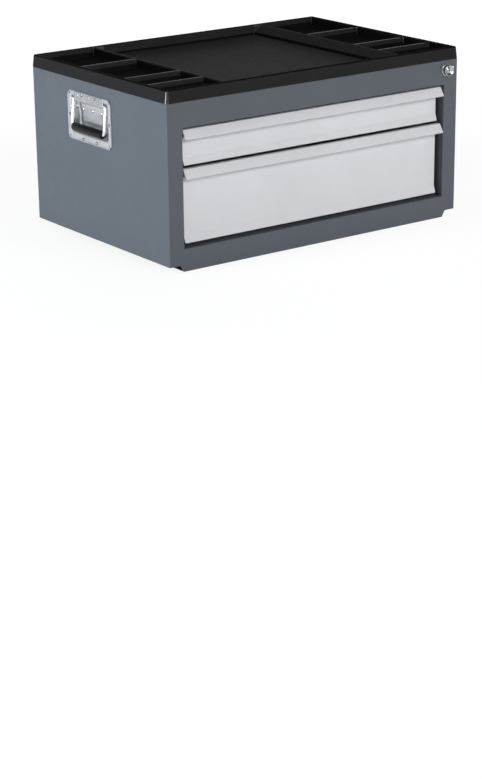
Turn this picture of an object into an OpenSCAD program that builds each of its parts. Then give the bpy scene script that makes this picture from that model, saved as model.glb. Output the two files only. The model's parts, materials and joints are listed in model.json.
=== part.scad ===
// Tool chest: a sheet-steel top cabinet with two drawers on telescopic slides,
// a moulded tray on top, a front lock with a vertical bar, and a folding handle on each side.
// Millimetres, +Z up. The origin is the middle of the underside, the front faces -Y.

/* [Cabinet] */
// Width of the painted cabinet
body_w = 690; // [600:5:800]
// Depth of the painted cabinet
body_d = 460; // [420:5:600]
// Thickness of every sheet-steel panel
sheet_t = 1.2; // [0.8:0.1:1.6]
// Visible height of the rail below the drawers
sill_h = 30; // [22:1:60]
// Visible height of the rail above the drawers
top_rail_h = 48; // [42:1:80]
// Width of the post on each side of the drawers
post_w = 32.5; // [30:0.5:45]
// How far the apron drops below the side panels
apron_drop = 12.5; // [11.5:0.5:30]
// Distance of the apron's upper corners from the sides
apron_inset = 23.5; // [22:0.5:28]
// How much further in the apron's lower corners lie
apron_chamfer = 7.5; // [2:0.5:12]
// Depth of the folds behind the front face
return_d = 35; // [30:1:50]
// Width of the flanges folded in from the side panels
flange_w = 20; // [12:1:20]
// Setback of the plinth from the back of the cabinet
plinth_back = 25; // [10:1:60]
// Width of the rear uprights, front to back
upright_d = 62; // [55:1:80]

/* [Tray] */
// How far the tray stands out past the cabinet on each side
tray_overhang = 2; // [1.2:0.1:4]
// How far the tray's skirt laps over the cabinet's top edge
skirt_lap = 2; // [1.4:0.1:6]
// Thickness of the tray's floor
tray_floor_t = 2.5; // [1.5:0.1:5]
// Depth of the compartments below the outer rim
tray_depth = 19.5; // [14:0.5:40]
// Width of the outer rim on top
rim_w = 9; // [6:0.5:14]
// How far the ribs stay below the outer rim
rib_drop = 2.5; // [1:0.5:6]
// Thickness of the ribs at their top
rib_t = 4; // [3:0.5:8]
// Draft of the compartment walls, from top to floor
wall_draft = 2; // [0.5:0.5:4]
// Run of the sloping sides of the large middle compartment
ramp_run = 20; // [4:1:30]
// Distance of the side columns' inner edge from the tray's side
column_w = 142; // [100:1:180]
// Distances of the cross ribs from the tray's front edge
rib_y = [81, 157, 305]; // [40:1:380]
// Corner radius of the tray, seen from above
tray_corner_r = 6; // [2:0.5:8]

/* [Drawer fronts] */
// Height of the upper and the lower drawer front, lip included
front_h = [67.5, 140.5]; // [60:0.5:200]
// Gap above the upper drawer front
reveal_top = 4.5; // [3:0.5:10]
// Gap between the two drawer fronts
reveal_mid = 5.5; // [3:0.5:12]
// Gap below the lower drawer front
reveal_bottom = 7; // [3:0.5:12]
// Setback of the drawer panels behind the cabinet's front face
front_setback = 14; // [10:0.1:20]
// Height of the sloping pull lip
lip_h = 16.7; // [12:0.1:24]
// Forward run of the sloping pull lip
lip_run = 10.4; // [8:0.1:24]
// Flat on top of the lip, in front of the panel
lip_flat = 9; // [2:0.1:12]
// How far the panel reaches past each side of the drawer box
panel_overhang = 3.8; // [1:0.1:6]
// How far the lip reaches past each end of the panel
lip_overhang = 4.8; // [2:0.1:8]
// Width of the relief notch at each upper corner of the panel
relief_w = 5; // [2:0.5:8]
// Height of the flared foot of the panel
flare_h = 14.5; // [6:0.5:20]
// Forward run of the flared foot
flare_out = 5; // [2:0.5:12]

/* [Drawer boxes] */
// How far the drawer sides stay below the lip's top
box_top_drop = 7; // [4:0.5:12]
// How far the drawer floor lies above the front's lower edge
box_rise = 4; // [3:0.5:12]
// Thickness of the drawer mat
liner_t = 2; // [1:0.1:4]
// Margin between the mat and the drawer walls
liner_margin = 1.5; // [0.5:0.1:5]

/* [Slides] */
// Thickness of a closed slide
slide_t = 12.7; // [12.7:0.1:14]
// Height of a slide
slide_h = 35; // [30:0.5:38]
// Sheet thickness of the slide rails
rail_t = 1.2; // [1:0.1:1.4]
// Running gap between rails
rail_gap = 0.3; // [0.2:0.05:0.5]
// Setback of the slides behind the drawer panel
slide_setback = 12.8; // [2:0.1:16]
// Height of the slide's lower edge above the drawer floor
slide_rise = 5; // [1:0.5:8]
// Free depth behind the slides
rear_space = 42; // [36:1:80]
// Length of the rubber stop behind each slide
stop_len = 5.6; // [3:0.1:10]

/* [Lock] */
// Distance of the lock's axis from the cabinet's right side
lock_inset = 27.5; // [26:0.5:30]
// Distance of the lock's axis below the tray's skirt
lock_drop = 19.5; // [17:0.5:26]
// Radius of the lock's visible head
lock_head_r = 11; // [9:0.5:13]
// How far the lock's head stands out
lock_head_len = 10; // [6:0.5:14]
// Radius of the ring at the foot of the head
lock_ring_r = 12.2; // [11:0.1:15]
// Thickness of the ring at the foot of the head
lock_ring_t = 2; // [1:0.1:4]
// Radius of the lock's body inside the cabinet
lock_body_r = 8.5; // [8:0.1:9]
// Radius of the plug's face
plug_face_r = 7.5; // [7:0.1:8]
// Depth of the plug's face
plug_face_len = 4; // [3:0.5:6]
// Radius of the plug's shank
plug_r = 6; // [5:0.1:6.5]
// Thickness of the cam
cam_t = 2.5; // [2:0.1:4]
// Distance of the cam's pin from the lock's axis
pin_throw = 8; // [7:0.1:9]
// Radius of the cam's pin
pin_r = 2.5; // [2:0.1:3]
// Room round the pin in the bar's slot
pin_room = 0.45; // [0.35:0.05:0.8]
// Width of the lock bar
bar_w = 18; // [16:0.5:22]
// Thickness of the lock bar
bar_t = 3; // [2:0.1:4]
// Gap between the lock bar and its guides
bar_gap = 0.35; // [0.3:0.05:0.6]
// Height of each tab on the lock bar
tab_h = 6.5; // [4:0.1:8]
// Height of each drawer catch
catch_h = 8; // [6:0.1:10]
// Reach of each drawer catch from the drawer side
catch_reach = 9.2; // [6:0.1:10]

/* [Handles] */
// Width of the plate beyond each end of the recess
plate_end_border = 11; // [10.5:0.5:25]
// Width of the plate above the recess
plate_top_border = 9.9; // [9:0.1:17]
// Corner radius of the plate
plate_corner_r = 12; // [6:0.5:16]
// Thickness of the plate and of the hinge cover
plate_t = 1.5; // [1:0.1:2.5]
// Distance of the plate's middle behind the middle of the cabinet
handle_back = 28; // [-20:1:40]
// Height of the plate's middle above the side panel's lower edge
handle_rise = 232.5; // [180:0.5:250]
// Gap between the bail's legs and the ends of the recess
recess_end_gap = 4; // [3.5:0.1:5]
// Gap between the hinge tube and the upper edge of the recess
tube_head_gap = 0.6; // [0.4:0.1:1]
// Gap between the grip and the lower edge of the recess, as seen from the side
grip_foot_gap = 3.75; // [2.5:0.05:4.75]
// Depth of the recess behind the side panel's face
recess_depth = 18.5; // [16:0.1:22]
// Depth of the recess at its upper edge
recess_top_depth = 10; // [6:0.5:15]
// Height of the bend across the recess above the plate's middle
recess_bend = 1; // [-4:0.5:10]
// Run of the sloping lower wall of the recess
recess_slope = 6; // [2:0.5:9]
// Radius of the bail's rod
bail_r = 4; // [3:0.1:4]
// Half the distance between the bail's legs
leg_l2 = 55.5; // [52:0.5:56]
// Height of the bail's pivot above the plate's middle
pivot_up = 33; // [32.4:0.1:33.2]
// Distance of the bail's pivot from the side panel's face
pivot_out = -1.2; // [-1.6:0.1:-1]
// Distance from the bail's pivot down to the grip's axis
bail_len = 54; // [48:0.5:55]
// Angle by which the bail leans out of the recess at rest
bail_lean = 5.5; // [4.5:0.1:8]
// Radius of the bail's pivot pins
pivot_r = 2.6; // [2:0.1:2.8]
// Length of the bail's pivot pins
pivot_len = 16; // [10:0.5:25]
// Outer radius of the tube in the hinge cover
tube_r = 4; // [3.6:0.1:4.1]
// Radius of the grip
grip_r = 8; // [6:0.1:8]
// Lower edge of the hinge cover above the plate's middle
cover_foot = 28; // [26:0.1:28.4]

/* [Fixings] */
// Radius of a rivet's head
rivet_head_r = 3; // [2.4:0.1:3.4]
// Height of a rivet's head
rivet_head_h = 1.2; // [0.6:0.1:1.6]
// Radius of a rivet's shank
rivet_r = 1.9; // [1.2:0.1:2]
// Distance of the handle's rivets from the plate's edge
rivet_edge = 5.5; // [5:0.1:5.8]
// Number of rivets down each side of the back panel
back_rivet_count = 5; // [3:1:9]
// Distance of the first and last back rivet from the panel's ends
back_rivet_margin = 25; // [15:1:60]
// Radius of the thread bore in the plinth's rivet nuts
nut_bore_r = 2.5; // [2:0.1:3]
// Radius of the rivet nuts' bodies
nut_body_r = 4.2; // [3.6:0.1:4.6]
// Length of the rivet nuts
nut_len = 12; // [8:0.5:20]
// Height of the rivet nuts' axis above the plinth's underside
nut_rise = 6; // [6:0.1:7]

/* [Hidden] */

$fn = 48;

// Clearances: shaft in hole, piece beside piece, and the overrun of a cut
fit = 0.05;
gap = 0.3;
cut = 1;

// Colours
paint = [0.42, 0.45, 0.50];
front_paint = [0.81, 0.81, 0.83];
tray_black = [0.17, 0.17, 0.17];
chrome = [0.85, 0.85, 0.87];
zinc = [0.70, 0.71, 0.72];
rubber = [0.14, 0.14, 0.15];

// Main planes of the cabinet
half_w = body_w / 2;
y_front = -body_d / 2;
y_back = body_d / 2;
open_x = half_w - post_w;
open_z0 = apron_drop + sill_h;
open_h = reveal_top + front_h[0] + reveal_mid + front_h[1] + reveal_bottom;
open_z1 = open_z0 + open_h;
skirt_z = open_z1 + top_rail_h;
deck_z = skirt_z + skirt_lap;
tray_floor_z = deck_z + tray_floor_t;
rim_z = tray_floor_z + tray_depth;
wall_z = deck_z - sheet_t;
fold_y = y_front + return_d;

// Plinth
pan_x = half_w - apron_inset;
pan_y0 = fold_y + gap;
pan_y1 = y_back - plinth_back;
pan_top = apron_drop + 2 * sheet_t;

// Drawers: front planes and heights, upper drawer first
panel_y = y_front + front_setback;
panel_back = panel_y + sheet_t;
front_top = [open_z1 - reveal_top, open_z1 - reveal_top - front_h[0] - reveal_mid];
front_foot = [for (i = [0, 1]) front_top[i] - front_h[i]];
box_x = open_x - slide_t;
front_x = box_x + panel_overhang;
box_z0 = [for (i = [0, 1]) front_foot[i] + box_rise];
box_z1 = [for (i = [0, 1]) front_top[i] - box_top_drop];

// Slides
slide_y0 = panel_back + slide_setback;
slide_y1 = y_back - rear_space;
slide_z = [for (i = [0, 1]) box_z0[i] + slide_rise + slide_h / 2];
outer_reach = 8.2;
middle_reach = 10.2;
rail_side_gap = 0.4;
box_back_gap = 2;
box_y1 = slide_y1 - box_back_gap;
upright_y0 = y_back - 2 * sheet_t - upright_d;

// Lock: the bar runs just behind the folds of the front frame
lock_x = half_w - lock_inset;
lock_z = skirt_z - lock_drop;
bar_fold_gap = 0.5;
bar_y0 = fold_y + bar_fold_gap;
cam_screw_h = 2;
cam_bar_gap = 0.7;
cam_y0 = bar_y0 - cam_bar_gap - cam_screw_h - cam_t;
lock_rear_y = cam_y0 - gap;
cam_r = 8.5;
tang_w = 7;
cam_screw_r = 5;
cam_screw_shank_r = 2;
cam_screw_len = 8;
nut_t = 5;
nut_r = 13;
keyway_w = 1.6;
keyway_h = 9;
keyway_depth = 3;

// The pin starts 45 degrees below the lock's axis and ends 45 degrees above it
pin_dx = pin_throw * cos(45);
bar_edge = 1.5;
bar_x0 = lock_x - bar_edge;
bar_x1 = bar_x0 + bar_w;
slot_z = lock_z - pin_dx;
slot_end = pin_r + pin_room;
slot_margin = 5;
bar_top = slot_z + slot_end + slot_margin;
tab_lap = 6;
tab_x0 = box_x + catch_reach - tab_lap;
tab_gap = 1;
tab_z1 = [for (i = [0, 1]) box_z1[i] - catch_h - tab_gap];
catch_y0 = bar_y0 + bar_t + tab_gap;
catch_len = 7;
guide_h = 16;
guide_wall = 3;
guide_drop = 30;
guide_z = [for (i = [0, 1]) tab_z1[i] - tab_h - guide_drop];
bar_foot = guide_z[1] - guide_h;

// Handles: the middle of the plate
handle_y = handle_back;
handle_z = apron_drop + handle_rise;
recess_l2 = leg_l2 + bail_r + recess_end_gap;
recess_up = pivot_up + tube_r + tube_head_gap;
recess_down = bail_len * cos(bail_lean) - pivot_up + grip_r + grip_foot_gap;
plate_l = 2 * (recess_l2 + plate_end_border);
plate_h = 2 * (max(recess_up, recess_down) + plate_top_border);
dish_t = 1.2;
dish_room = 0.4;
bridge_end_gap = 0.5;
bridge_l2 = leg_l2 - bail_r - bridge_end_gap;
grip_end_gap = 0.3;
grip_l2 = leg_l2 - bail_r - grip_end_gap;
bridge_flange = 9.5;
bridge_up = recess_up + bridge_flange;
rivet_round = 1.2;
rivet_tail = 1.5;
rivet_tail_r = 2.8;

// Back panel rivets: places down each side
back_rivet_x = half_w - sheet_t - flange_w / 2;
back_rivet_z0 = apron_drop + back_rivet_margin;
back_rivet_step = (wall_z - back_rivet_margin - back_rivet_z0) / (back_rivet_count - 1);
back_rivet_z = [for (i = [0 : back_rivet_count - 1]) back_rivet_z0 + i * back_rivet_step];

// Plinth rivet nuts
nut_flange_r = 5.4;
nut_flange_t = 1;
nut_y = 2;

// Tray outline and the rows of its side columns
tray_x = half_w + tray_overhang;
tray_y = body_d / 2 + tray_overhang;
row_lo = [-tray_y + rim_w, for (y = rib_y) -tray_y + y + rib_t / 2];
row_hi = [for (y = rib_y) -tray_y + y - rib_t / 2, tray_y - rim_w];

// A cuboid given by its low and high corners
module block(lo, hi) {
    translate(lo) cube(hi - lo);
}

// Turns a shape's own Z axis to +Y and puts it at a place
module along_y(place) {
    translate(place) rotate([-90, 0, 0]) children();
}

// Draws the right-hand piece, or its mirror image on the left
module on_side(side) {
    if (side == "left") mirror([1, 0, 0]) children();
    else children();
}

// A rectangle with round corners, centred
module round_rect(l, h, r) {
    square([l - 2 * r, h], center = true);
    square([l, h - 2 * r], center = true);
    for (x = [-1, 1], y = [-1, 1])
        translate([x * (l / 2 - r), y * (h / 2 - r)]) circle(r);
}

// A rivet along +Z: head above z = 0, shank through the clamped sheets, formed tail behind them
module rivet(clamped) {
    cylinder(r1 = rivet_head_r, r2 = rivet_head_r - rivet_round, h = rivet_head_h);
    translate([0, 0, -clamped]) cylinder(r = rivet_r, h = clamped);
    translate([0, 0, -clamped - rivet_tail]) cylinder(r = rivet_tail_r, h = rivet_tail);
}

// Cabinet shell

// Outline of the front sheet with the apron and its sloping ends
module front_outline() {
    foot_x = pan_x - apron_chamfer;
    polygon([
        [-half_w, apron_drop], [-pan_x, apron_drop], [-foot_x, 0],
        [foot_x, 0], [pan_x, apron_drop], [half_w, apron_drop],
        [half_w, wall_z], [-half_w, wall_z]
    ]);
}

module front_frame() {
    foot_x = pan_x - apron_chamfer;
    top_x = half_w - sheet_t;
    color(paint) difference() {
        union() {
            translate([0, y_front + sheet_t, 0]) rotate([90, 0, 0])
                linear_extrude(sheet_t) front_outline();
            block([-foot_x, y_front, 0], [foot_x, fold_y, sheet_t]);
            block([-open_x - sheet_t, y_front, open_z0 - sheet_t],
                  [open_x + sheet_t, fold_y, open_z1 + sheet_t]);
            block([-top_x, y_front, wall_z - sheet_t], [top_x, fold_y, wall_z]);
            for (side = ["left", "right"]) on_side(side)
                block([foot_x, y_front, apron_drop], [top_x, fold_y, apron_drop + sheet_t]);
        }
        block([-open_x, y_front - cut, open_z0], [open_x, fold_y + cut, open_z1]);
        along_y([lock_x, y_front - cut, lock_z])
            cylinder(r = lock_body_r + 2 * fit, h = sheet_t + 2 * cut);
    }
}

module side_panel() {
    inner_x = half_w - sheet_t - flange_w;
    flange_y0 = fold_y + 2 * gap;
    color(paint) difference() {
        union() {
            block([half_w - sheet_t, y_front + sheet_t, apron_drop],
                  [half_w, y_back - sheet_t, wall_z]);
            block([inner_x, flange_y0, apron_drop], [half_w, pan_y1, apron_drop + sheet_t]);
            block([inner_x, flange_y0, wall_z - sheet_t], [half_w, pan_y1, wall_z]);
            block([inner_x, y_back - 2 * sheet_t, apron_drop],
                  [half_w, y_back - sheet_t, wall_z]);
        }
        handle_cutout();
        handle_rivet_holes();
        back_rivet_holes();
    }
}

module back_panel() {
    color(paint) difference() {
        block([-half_w, y_back - sheet_t, apron_drop], [half_w, y_back, wall_z]);
        for (side = ["left", "right"]) on_side(side) back_rivet_holes();
    }
}

// Holes for the rivets along the right edge of the back panel
module back_rivet_holes() {
    for (z = back_rivet_z)
        along_y([back_rivet_x, y_back - 2 * sheet_t - cut, z])
            cylinder(r = rivet_r + fit, h = 2 * sheet_t + 2 * cut);
}

module back_panel_rivets() {
    color(zinc) for (side = ["left", "right"]) on_side(side)
        for (z = back_rivet_z)
            along_y([back_rivet_x, y_back, z]) rivet(2 * sheet_t);
}

// Shallow tub whose rim rests on the side panels' lower flanges
module base_pan() {
    rim_x = half_w - sheet_t - gap;
    color(paint) difference() {
        union() {
            block([-pan_x, pan_y0, 0], [pan_x, pan_y1, pan_top]);
            block([-rim_x, pan_y0, pan_top - sheet_t],
                  [rim_x, y_back - 2 * sheet_t - gap, pan_top]);
        }
        block([-pan_x + sheet_t, pan_y0 + sheet_t, sheet_t],
              [pan_x - sheet_t, pan_y1 - sheet_t, pan_top + cut]);
        translate([0, nut_y, nut_rise]) rotate([0, 90, 0])
            cylinder(r = nut_body_r + fit, h = body_w, center = true);
    }
}

module plinth_rivet_nuts() {
    color(zinc) for (side = ["left", "right"]) on_side(side)
        translate([pan_x, nut_y, nut_rise]) rotate([0, 90, 0]) difference() {
            union() {
                cylinder(r = nut_flange_r, h = nut_flange_t);
                translate([0, 0, nut_flange_t - nut_len]) cylinder(r = nut_body_r, h = nut_len);
            }
            translate([0, 0, -nut_len]) cylinder(r = nut_bore_r, h = 2 * nut_len);
        }
}

module top_deck() {
    color(paint) block([-half_w, y_front, wall_z], [half_w, y_back, deck_z]);
}

// Angle that carries the rear ends of the slides
module rear_upright() {
    y1 = y_back - 2 * sheet_t - gap;
    color(paint) {
        block([open_x, upright_y0, pan_top], [open_x + sheet_t, y1, wall_z - sheet_t]);
        block([open_x, upright_y0, pan_top],
              [half_w - sheet_t, upright_y0 + sheet_t, wall_z - sheet_t]);
    }
}

// Tray

// A compartment with sloping walls, given by its upper corners and the run of each wall
module pocket(x0, x1, y0, y1, run_x, run_y) {
    top = rim_z - rib_drop;
    intersection() {
        translate([0, tray_y, 0]) rotate([90, 0, 0]) linear_extrude(2 * tray_y)
            polygon([[x0, top + cut], [x0, top], [x0 + run_x, tray_floor_z],
                     [x1 - run_x, tray_floor_z], [x1, top], [x1, top + cut]]);
        translate([-tray_x, 0, 0]) rotate([90, 0, 90]) linear_extrude(2 * tray_x)
            polygon([[y0, top + cut], [y0, top], [y0 + run_y, tray_floor_z],
                     [y1 - run_y, tray_floor_z], [y1, top], [y1, top + cut]]);
    }
}

module top_tray() {
    inner_x = tray_x - rim_w;
    inner_y = tray_y - rim_w;
    column_x = tray_x - column_w;
    color(tray_black) difference() {
        translate([0, 0, skirt_z]) linear_extrude(rim_z - skirt_z)
            round_rect(2 * tray_x, 2 * tray_y, tray_corner_r);
        block([-half_w - gap, y_front - gap, skirt_z - cut], [half_w + gap, y_back + gap, deck_z]);
        block([-inner_x, -inner_y, rim_z - rib_drop], [inner_x, inner_y, rim_z + cut]);
        pocket(-column_x, column_x, -inner_y, inner_y, ramp_run, wall_draft);
        for (side = ["left", "right"], row = [0 : len(row_lo) - 1]) on_side(side)
            pocket(column_x + rib_t, inner_x, row_lo[row], row_hi[row], wall_draft, wall_draft);
    }
}

// Drawers: i is 0 for the upper drawer and 1 for the lower one

// Section of a drawer front's pull lip, in Y and Z
module lip_section(i) {
    slope = sqrt(lip_h * lip_h + lip_run * lip_run);
    shift_y = sheet_t * lip_h / slope;
    shift_z = sheet_t * lip_run / slope;
    top = front_top[i];
    edge_y = panel_y - lip_flat - lip_run;
    edge_z = top - lip_h;
    bend_y = edge_y + shift_y + (lip_h - sheet_t + shift_z) * lip_run / lip_h;
    polygon([
        [edge_y, edge_z], [panel_y - lip_flat, top], [panel_back, top],
        [panel_back, top - sheet_t], [bend_y, top - sheet_t],
        [edge_y + shift_y, edge_z - shift_z]
    ]);
}

// Section of a drawer front's panel with its flared foot, in Y and Z
module panel_section(i) {
    crease = front_foot[i] + flare_h;
    polygon([
        [panel_y, front_top[i]], [panel_back, front_top[i]], [panel_back, crease],
        [panel_back - flare_out, front_foot[i]], [panel_y - flare_out, front_foot[i]],
        [panel_y, crease]
    ]);
}

// Extrudes a section in Y and Z over a width centred on X = 0
module across(width) {
    rotate([90, 0, 90]) linear_extrude(width, center = true) children();
}

module drawer_front(i) {
    color(front_paint) {
        difference() {
            across(2 * front_x) panel_section(i);
            for (side = ["left", "right"]) on_side(side)
                block([front_x - relief_w, panel_y - cut, front_top[i] - lip_h],
                      [front_x + cut, panel_back + cut, front_top[i] + cut]);
        }
        across(2 * (front_x + lip_overhang)) lip_section(i);
    }
}

module drawer_box(i) {
    color(front_paint) difference() {
        block([-box_x, panel_back, box_z0[i]], [box_x, box_y1, box_z1[i]]);
        block([-box_x + sheet_t, panel_back + sheet_t, box_z0[i] + sheet_t],
              [box_x - sheet_t, box_y1 - sheet_t, box_z1[i] + cut]);
    }
}

module drawer_liner(i) {
    edge = sheet_t + liner_margin;
    color(rubber)
        block([-box_x + edge, panel_back + edge, box_z0[i] + sheet_t],
              [box_x - edge, box_y1 - edge, box_z0[i] + sheet_t + liner_t]);
}

module drawer_catch(i) {
    color(zinc)
        block([box_x, catch_y0, box_z1[i] - catch_h],
              [box_x + catch_reach, catch_y0 + catch_len, box_z1[i]]);
}

// Slides: each rail is a channel, and the three nest into each other.
// Across the slide, s runs from the cabinet's wall at 0 to the drawer's side at slide_t.

// A channel from s0 to s1, open towards the drawer or towards the cabinet
module channel(i, s0, s1, half_h, opens) {
    web0 = opens == "drawer" ? s0 + rail_t : s0 - cut;
    web1 = opens == "drawer" ? s1 + cut : s1 - rail_t;
    inner_h = half_h - rail_t;
    translate([open_x, 0, slide_z[i]]) mirror([1, 0, 0]) difference() {
        block([s0, slide_y0, -half_h], [s1, slide_y1, half_h]);
        block([web0, slide_y0 - cut, -inner_h], [web1, slide_y1 + cut, inner_h]);
    }
}

module outer_rail(i) {
    color(zinc) {
        channel(i, 0, outer_reach, slide_h / 2, "drawer");
        block([open_x - rail_t, slide_y1 - cut, slide_z[i] - slide_h / 2],
              [open_x, slide_y1 + gap + stop_len, slide_z[i] + slide_h / 2]);
    }
}

module middle_rail(i) {
    color(zinc)
        channel(i, rail_t + rail_side_gap, middle_reach, slide_h / 2 - rail_t - rail_gap, "drawer");
}

module inner_rail(i) {
    color(zinc)
        channel(i, 2 * (rail_t + rail_side_gap), slide_t, slide_h / 2 - 2 * (rail_t + rail_gap),
                "cabinet");
}

// Rubber stops on the outer rails, behind the moving rails
module rail_stops() {
    half_h = slide_h / 2 - rail_t - rail_gap;
    color(rubber) for (side = ["left", "right"], i = [0, 1]) on_side(side)
        block([open_x - outer_reach, slide_y1 + gap, slide_z[i] - half_h],
              [open_x - rail_t, slide_y1 + gap + stop_len, slide_z[i] + half_h]);
}

// Lock

module lock_housing() {
    front = y_front - lock_head_len;
    color(chrome) difference() {
        union() {
            along_y([lock_x, front, lock_z]) cylinder(r = lock_head_r, h = lock_head_len);
            along_y([lock_x, y_front - lock_ring_t, lock_z])
                cylinder(r = lock_ring_r, h = lock_ring_t);
            along_y([lock_x, y_front - cut, lock_z])
                cylinder(r = lock_body_r, h = lock_rear_y - y_front + cut);
        }
        along_y([lock_x, front - cut, lock_z])
            cylinder(r = plug_face_r + fit, h = cut + plug_face_len + fit);
        along_y([lock_x, front, lock_z]) cylinder(r = plug_r + fit, h = body_d / 2);
    }
}

module lock_nut() {
    color(zinc) along_y([lock_x, y_front + sheet_t, lock_z]) difference() {
        cylinder(r = nut_r, h = nut_t, $fn = 6);
        translate([0, 0, -cut]) cylinder(r = lock_body_r + fit, h = nut_t + 2 * cut);
    }
}

module lock_plug() {
    front = y_front - lock_head_len;
    color(chrome) difference() {
        union() {
            along_y([lock_x, front, lock_z]) cylinder(r = plug_face_r, h = plug_face_len);
            along_y([lock_x, front, lock_z]) cylinder(r = plug_r, h = cam_y0 - front);
            block([lock_x - tang_w / 2, cam_y0 - cut, lock_z - tang_w / 2],
                  [lock_x + tang_w / 2, cam_y0 + cam_t, lock_z + tang_w / 2]);
        }
        block([lock_x - keyway_w / 2, front - cut, lock_z - keyway_h / 2],
              [lock_x + keyway_w / 2, front + keyway_depth, lock_z + keyway_h / 2]);
        along_y([lock_x, cam_y0 + cam_t - cam_screw_len, lock_z])
            cylinder(r = cam_screw_shank_r + fit, h = cam_screw_len + cut);
    }
}

module lock_cam() {
    pin_len = bar_y0 + bar_t + cut - cam_y0;
    hole = tang_w / 2 + fit;
    color(zinc) difference() {
        union() {
            along_y([lock_x, cam_y0, lock_z]) cylinder(r = cam_r, h = cam_t);
            along_y([lock_x + pin_dx, cam_y0, slot_z]) cylinder(r = pin_r + 1, h = cam_t);
            along_y([lock_x + pin_dx, cam_y0, slot_z]) cylinder(r = pin_r, h = pin_len);
        }
        block([lock_x - hole, cam_y0 - cut, lock_z - hole],
              [lock_x + hole, cam_y0 + cam_t + cut, lock_z + hole]);
    }
}

module lock_cam_screw() {
    color(zinc) {
        along_y([lock_x, cam_y0 + cam_t, lock_z]) cylinder(r = cam_screw_r, h = cam_screw_h);
        along_y([lock_x, cam_y0 + cam_t - cam_screw_len + gap, lock_z])
            cylinder(r = cam_screw_shank_r, h = cam_screw_len);
    }
}

// Flat bar with a slot for the cam's pin and a tab beside each drawer's catch
module lock_bar() {
    color(zinc) difference() {
        union() {
            block([bar_x0, bar_y0, bar_foot], [bar_x1, bar_y0 + bar_t, bar_top]);
            for (z = tab_z1)
                block([tab_x0, bar_y0, z - tab_h], [bar_x0 + cut, bar_y0 + bar_t, z]);
        }
        block([lock_x + pin_dx - slot_end, bar_y0 - cut, slot_z - slot_end],
              [lock_x + pin_throw + slot_end, bar_y0 + bar_t + cut, slot_z + slot_end]);
    }
}

// Plastic blocks on the side panel that guide the bar
module lock_bar_guides() {
    color(rubber) for (z = guide_z) difference() {
        block([open_x + sheet_t + fit, bar_y0 - guide_wall, z - guide_h / 2],
              [half_w - sheet_t, bar_y0 + bar_t + guide_wall, z + guide_h / 2]);
        block([bar_x0 - bar_gap, bar_y0 - bar_gap, z - guide_h],
              [bar_x1 + bar_gap, bar_y0 + bar_t + bar_gap, z + guide_h]);
    }
}

// Handles: drawn on the right side, around the middle of the plate on the panel's face.
// There X points out of the panel, Y along it and Z up.

module at_handle() {
    translate([half_w, handle_y, handle_z]) children();
}

// Places of the ten rivets round the plate, along the panel and up
handle_rivet_l = plate_l / 2 - rivet_edge;
handle_rivet_h = plate_h / 2 - rivet_edge;
plain_rivets = [
    for (l = [-1, 1], h = [-1, 1]) [l * handle_rivet_l, h * handle_rivet_h],
    for (l = [-1, 1]) [l * handle_rivet_l, 0],
    for (l = [-1, 1]) [l * handle_rivet_l / 3, -handle_rivet_h]
];
bridge_rivets = [for (l = [-1, 1]) [l * handle_rivet_l / 3, handle_rivet_h]];

// Opening in the side panel for the recess
module handle_cutout() {
    l2 = recess_l2 + dish_t + dish_room;
    at_handle() block([-flange_w, -l2, -recess_down - dish_t - dish_room],
                      [cut, l2, recess_up + dish_t + dish_room]);
}

module handle_rivet_holes() {
    at_handle() for (p = concat(plain_rivets, bridge_rivets))
        translate([0, p[0], p[1]]) rotate([0, 90, 0])
            cylinder(r = rivet_r + fit, h = 4 * (sheet_t + plate_t), center = true);
}

// Section of the recess in X and Z, grown by a wall
module recess_section(wall, front) {
    polygon([
        [front, -recess_down - wall], [0, -recess_down - wall],
        [-recess_depth - wall, -recess_down + recess_slope - wall],
        [-recess_depth - wall, recess_bend],
        [-recess_top_depth - wall, recess_up + wall], [front, recess_up + wall]
    ]);
}

// Plate with its pressed recess
module handle_dish() {
    color(chrome) difference() {
        at_handle() difference() {
            union() {
                rotate([90, 0, 90]) linear_extrude(plate_t)
                    round_rect(plate_l, plate_h, plate_corner_r);
                rotate([90, 0, 0]) linear_extrude(2 * (recess_l2 + dish_t), center = true)
                    recess_section(dish_t, plate_t / 2);
            }
            rotate([90, 0, 0]) linear_extrude(2 * recess_l2, center = true)
                recess_section(0, plate_t + cut);
        }
        handle_rivet_holes();
    }
}

// Flat cover over the pivots: a tube for the pins behind it and a flange riveted to the plate
module handle_bridge() {
    color(chrome) difference() {
        at_handle() difference() {
            union() {
                along_y([pivot_out, -bridge_l2, pivot_up]) cylinder(r = tube_r, h = 2 * bridge_l2);
                block([plate_t, -bridge_l2, cover_foot], [2 * plate_t, bridge_l2, bridge_up]);
            }
            along_y([pivot_out, -bridge_l2 - cut, pivot_up])
                cylinder(r = pivot_r + fit, h = 2 * (bridge_l2 + cut));
        }
        handle_rivet_holes();
    }
}

// Turns the bail and its grip about the pivots to where they hang
module at_bail() {
    at_handle() translate([pivot_out, 0, pivot_up]) rotate([0, -bail_lean, 0]) children();
}

// Rod of the bail below its pivots, grown by a clearance for the bore in the grip
module bail_rod(grow) {
    r = bail_r + grow;
    along_y([0, -leg_l2, -bail_len]) cylinder(r = r, h = 2 * leg_l2);
    for (l = [-leg_l2, leg_l2]) {
        translate([0, l, -bail_len]) cylinder(r = r, h = bail_len);
        translate([0, l, -bail_len]) sphere(r);
        translate([0, l, 0]) sphere(r);
    }
}

module handle_bail() {
    color(chrome) at_bail() {
        bail_rod(0);
        for (l = [-leg_l2, leg_l2 - pivot_len])
            along_y([0, l, 0]) cylinder(r = pivot_r, h = pivot_len);
    }
}

module handle_grip() {
    color(rubber) at_bail() difference() {
        along_y([0, -grip_l2, -bail_len]) cylinder(r = grip_r, h = 2 * grip_l2);
        bail_rod(fit);
    }
}

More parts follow.
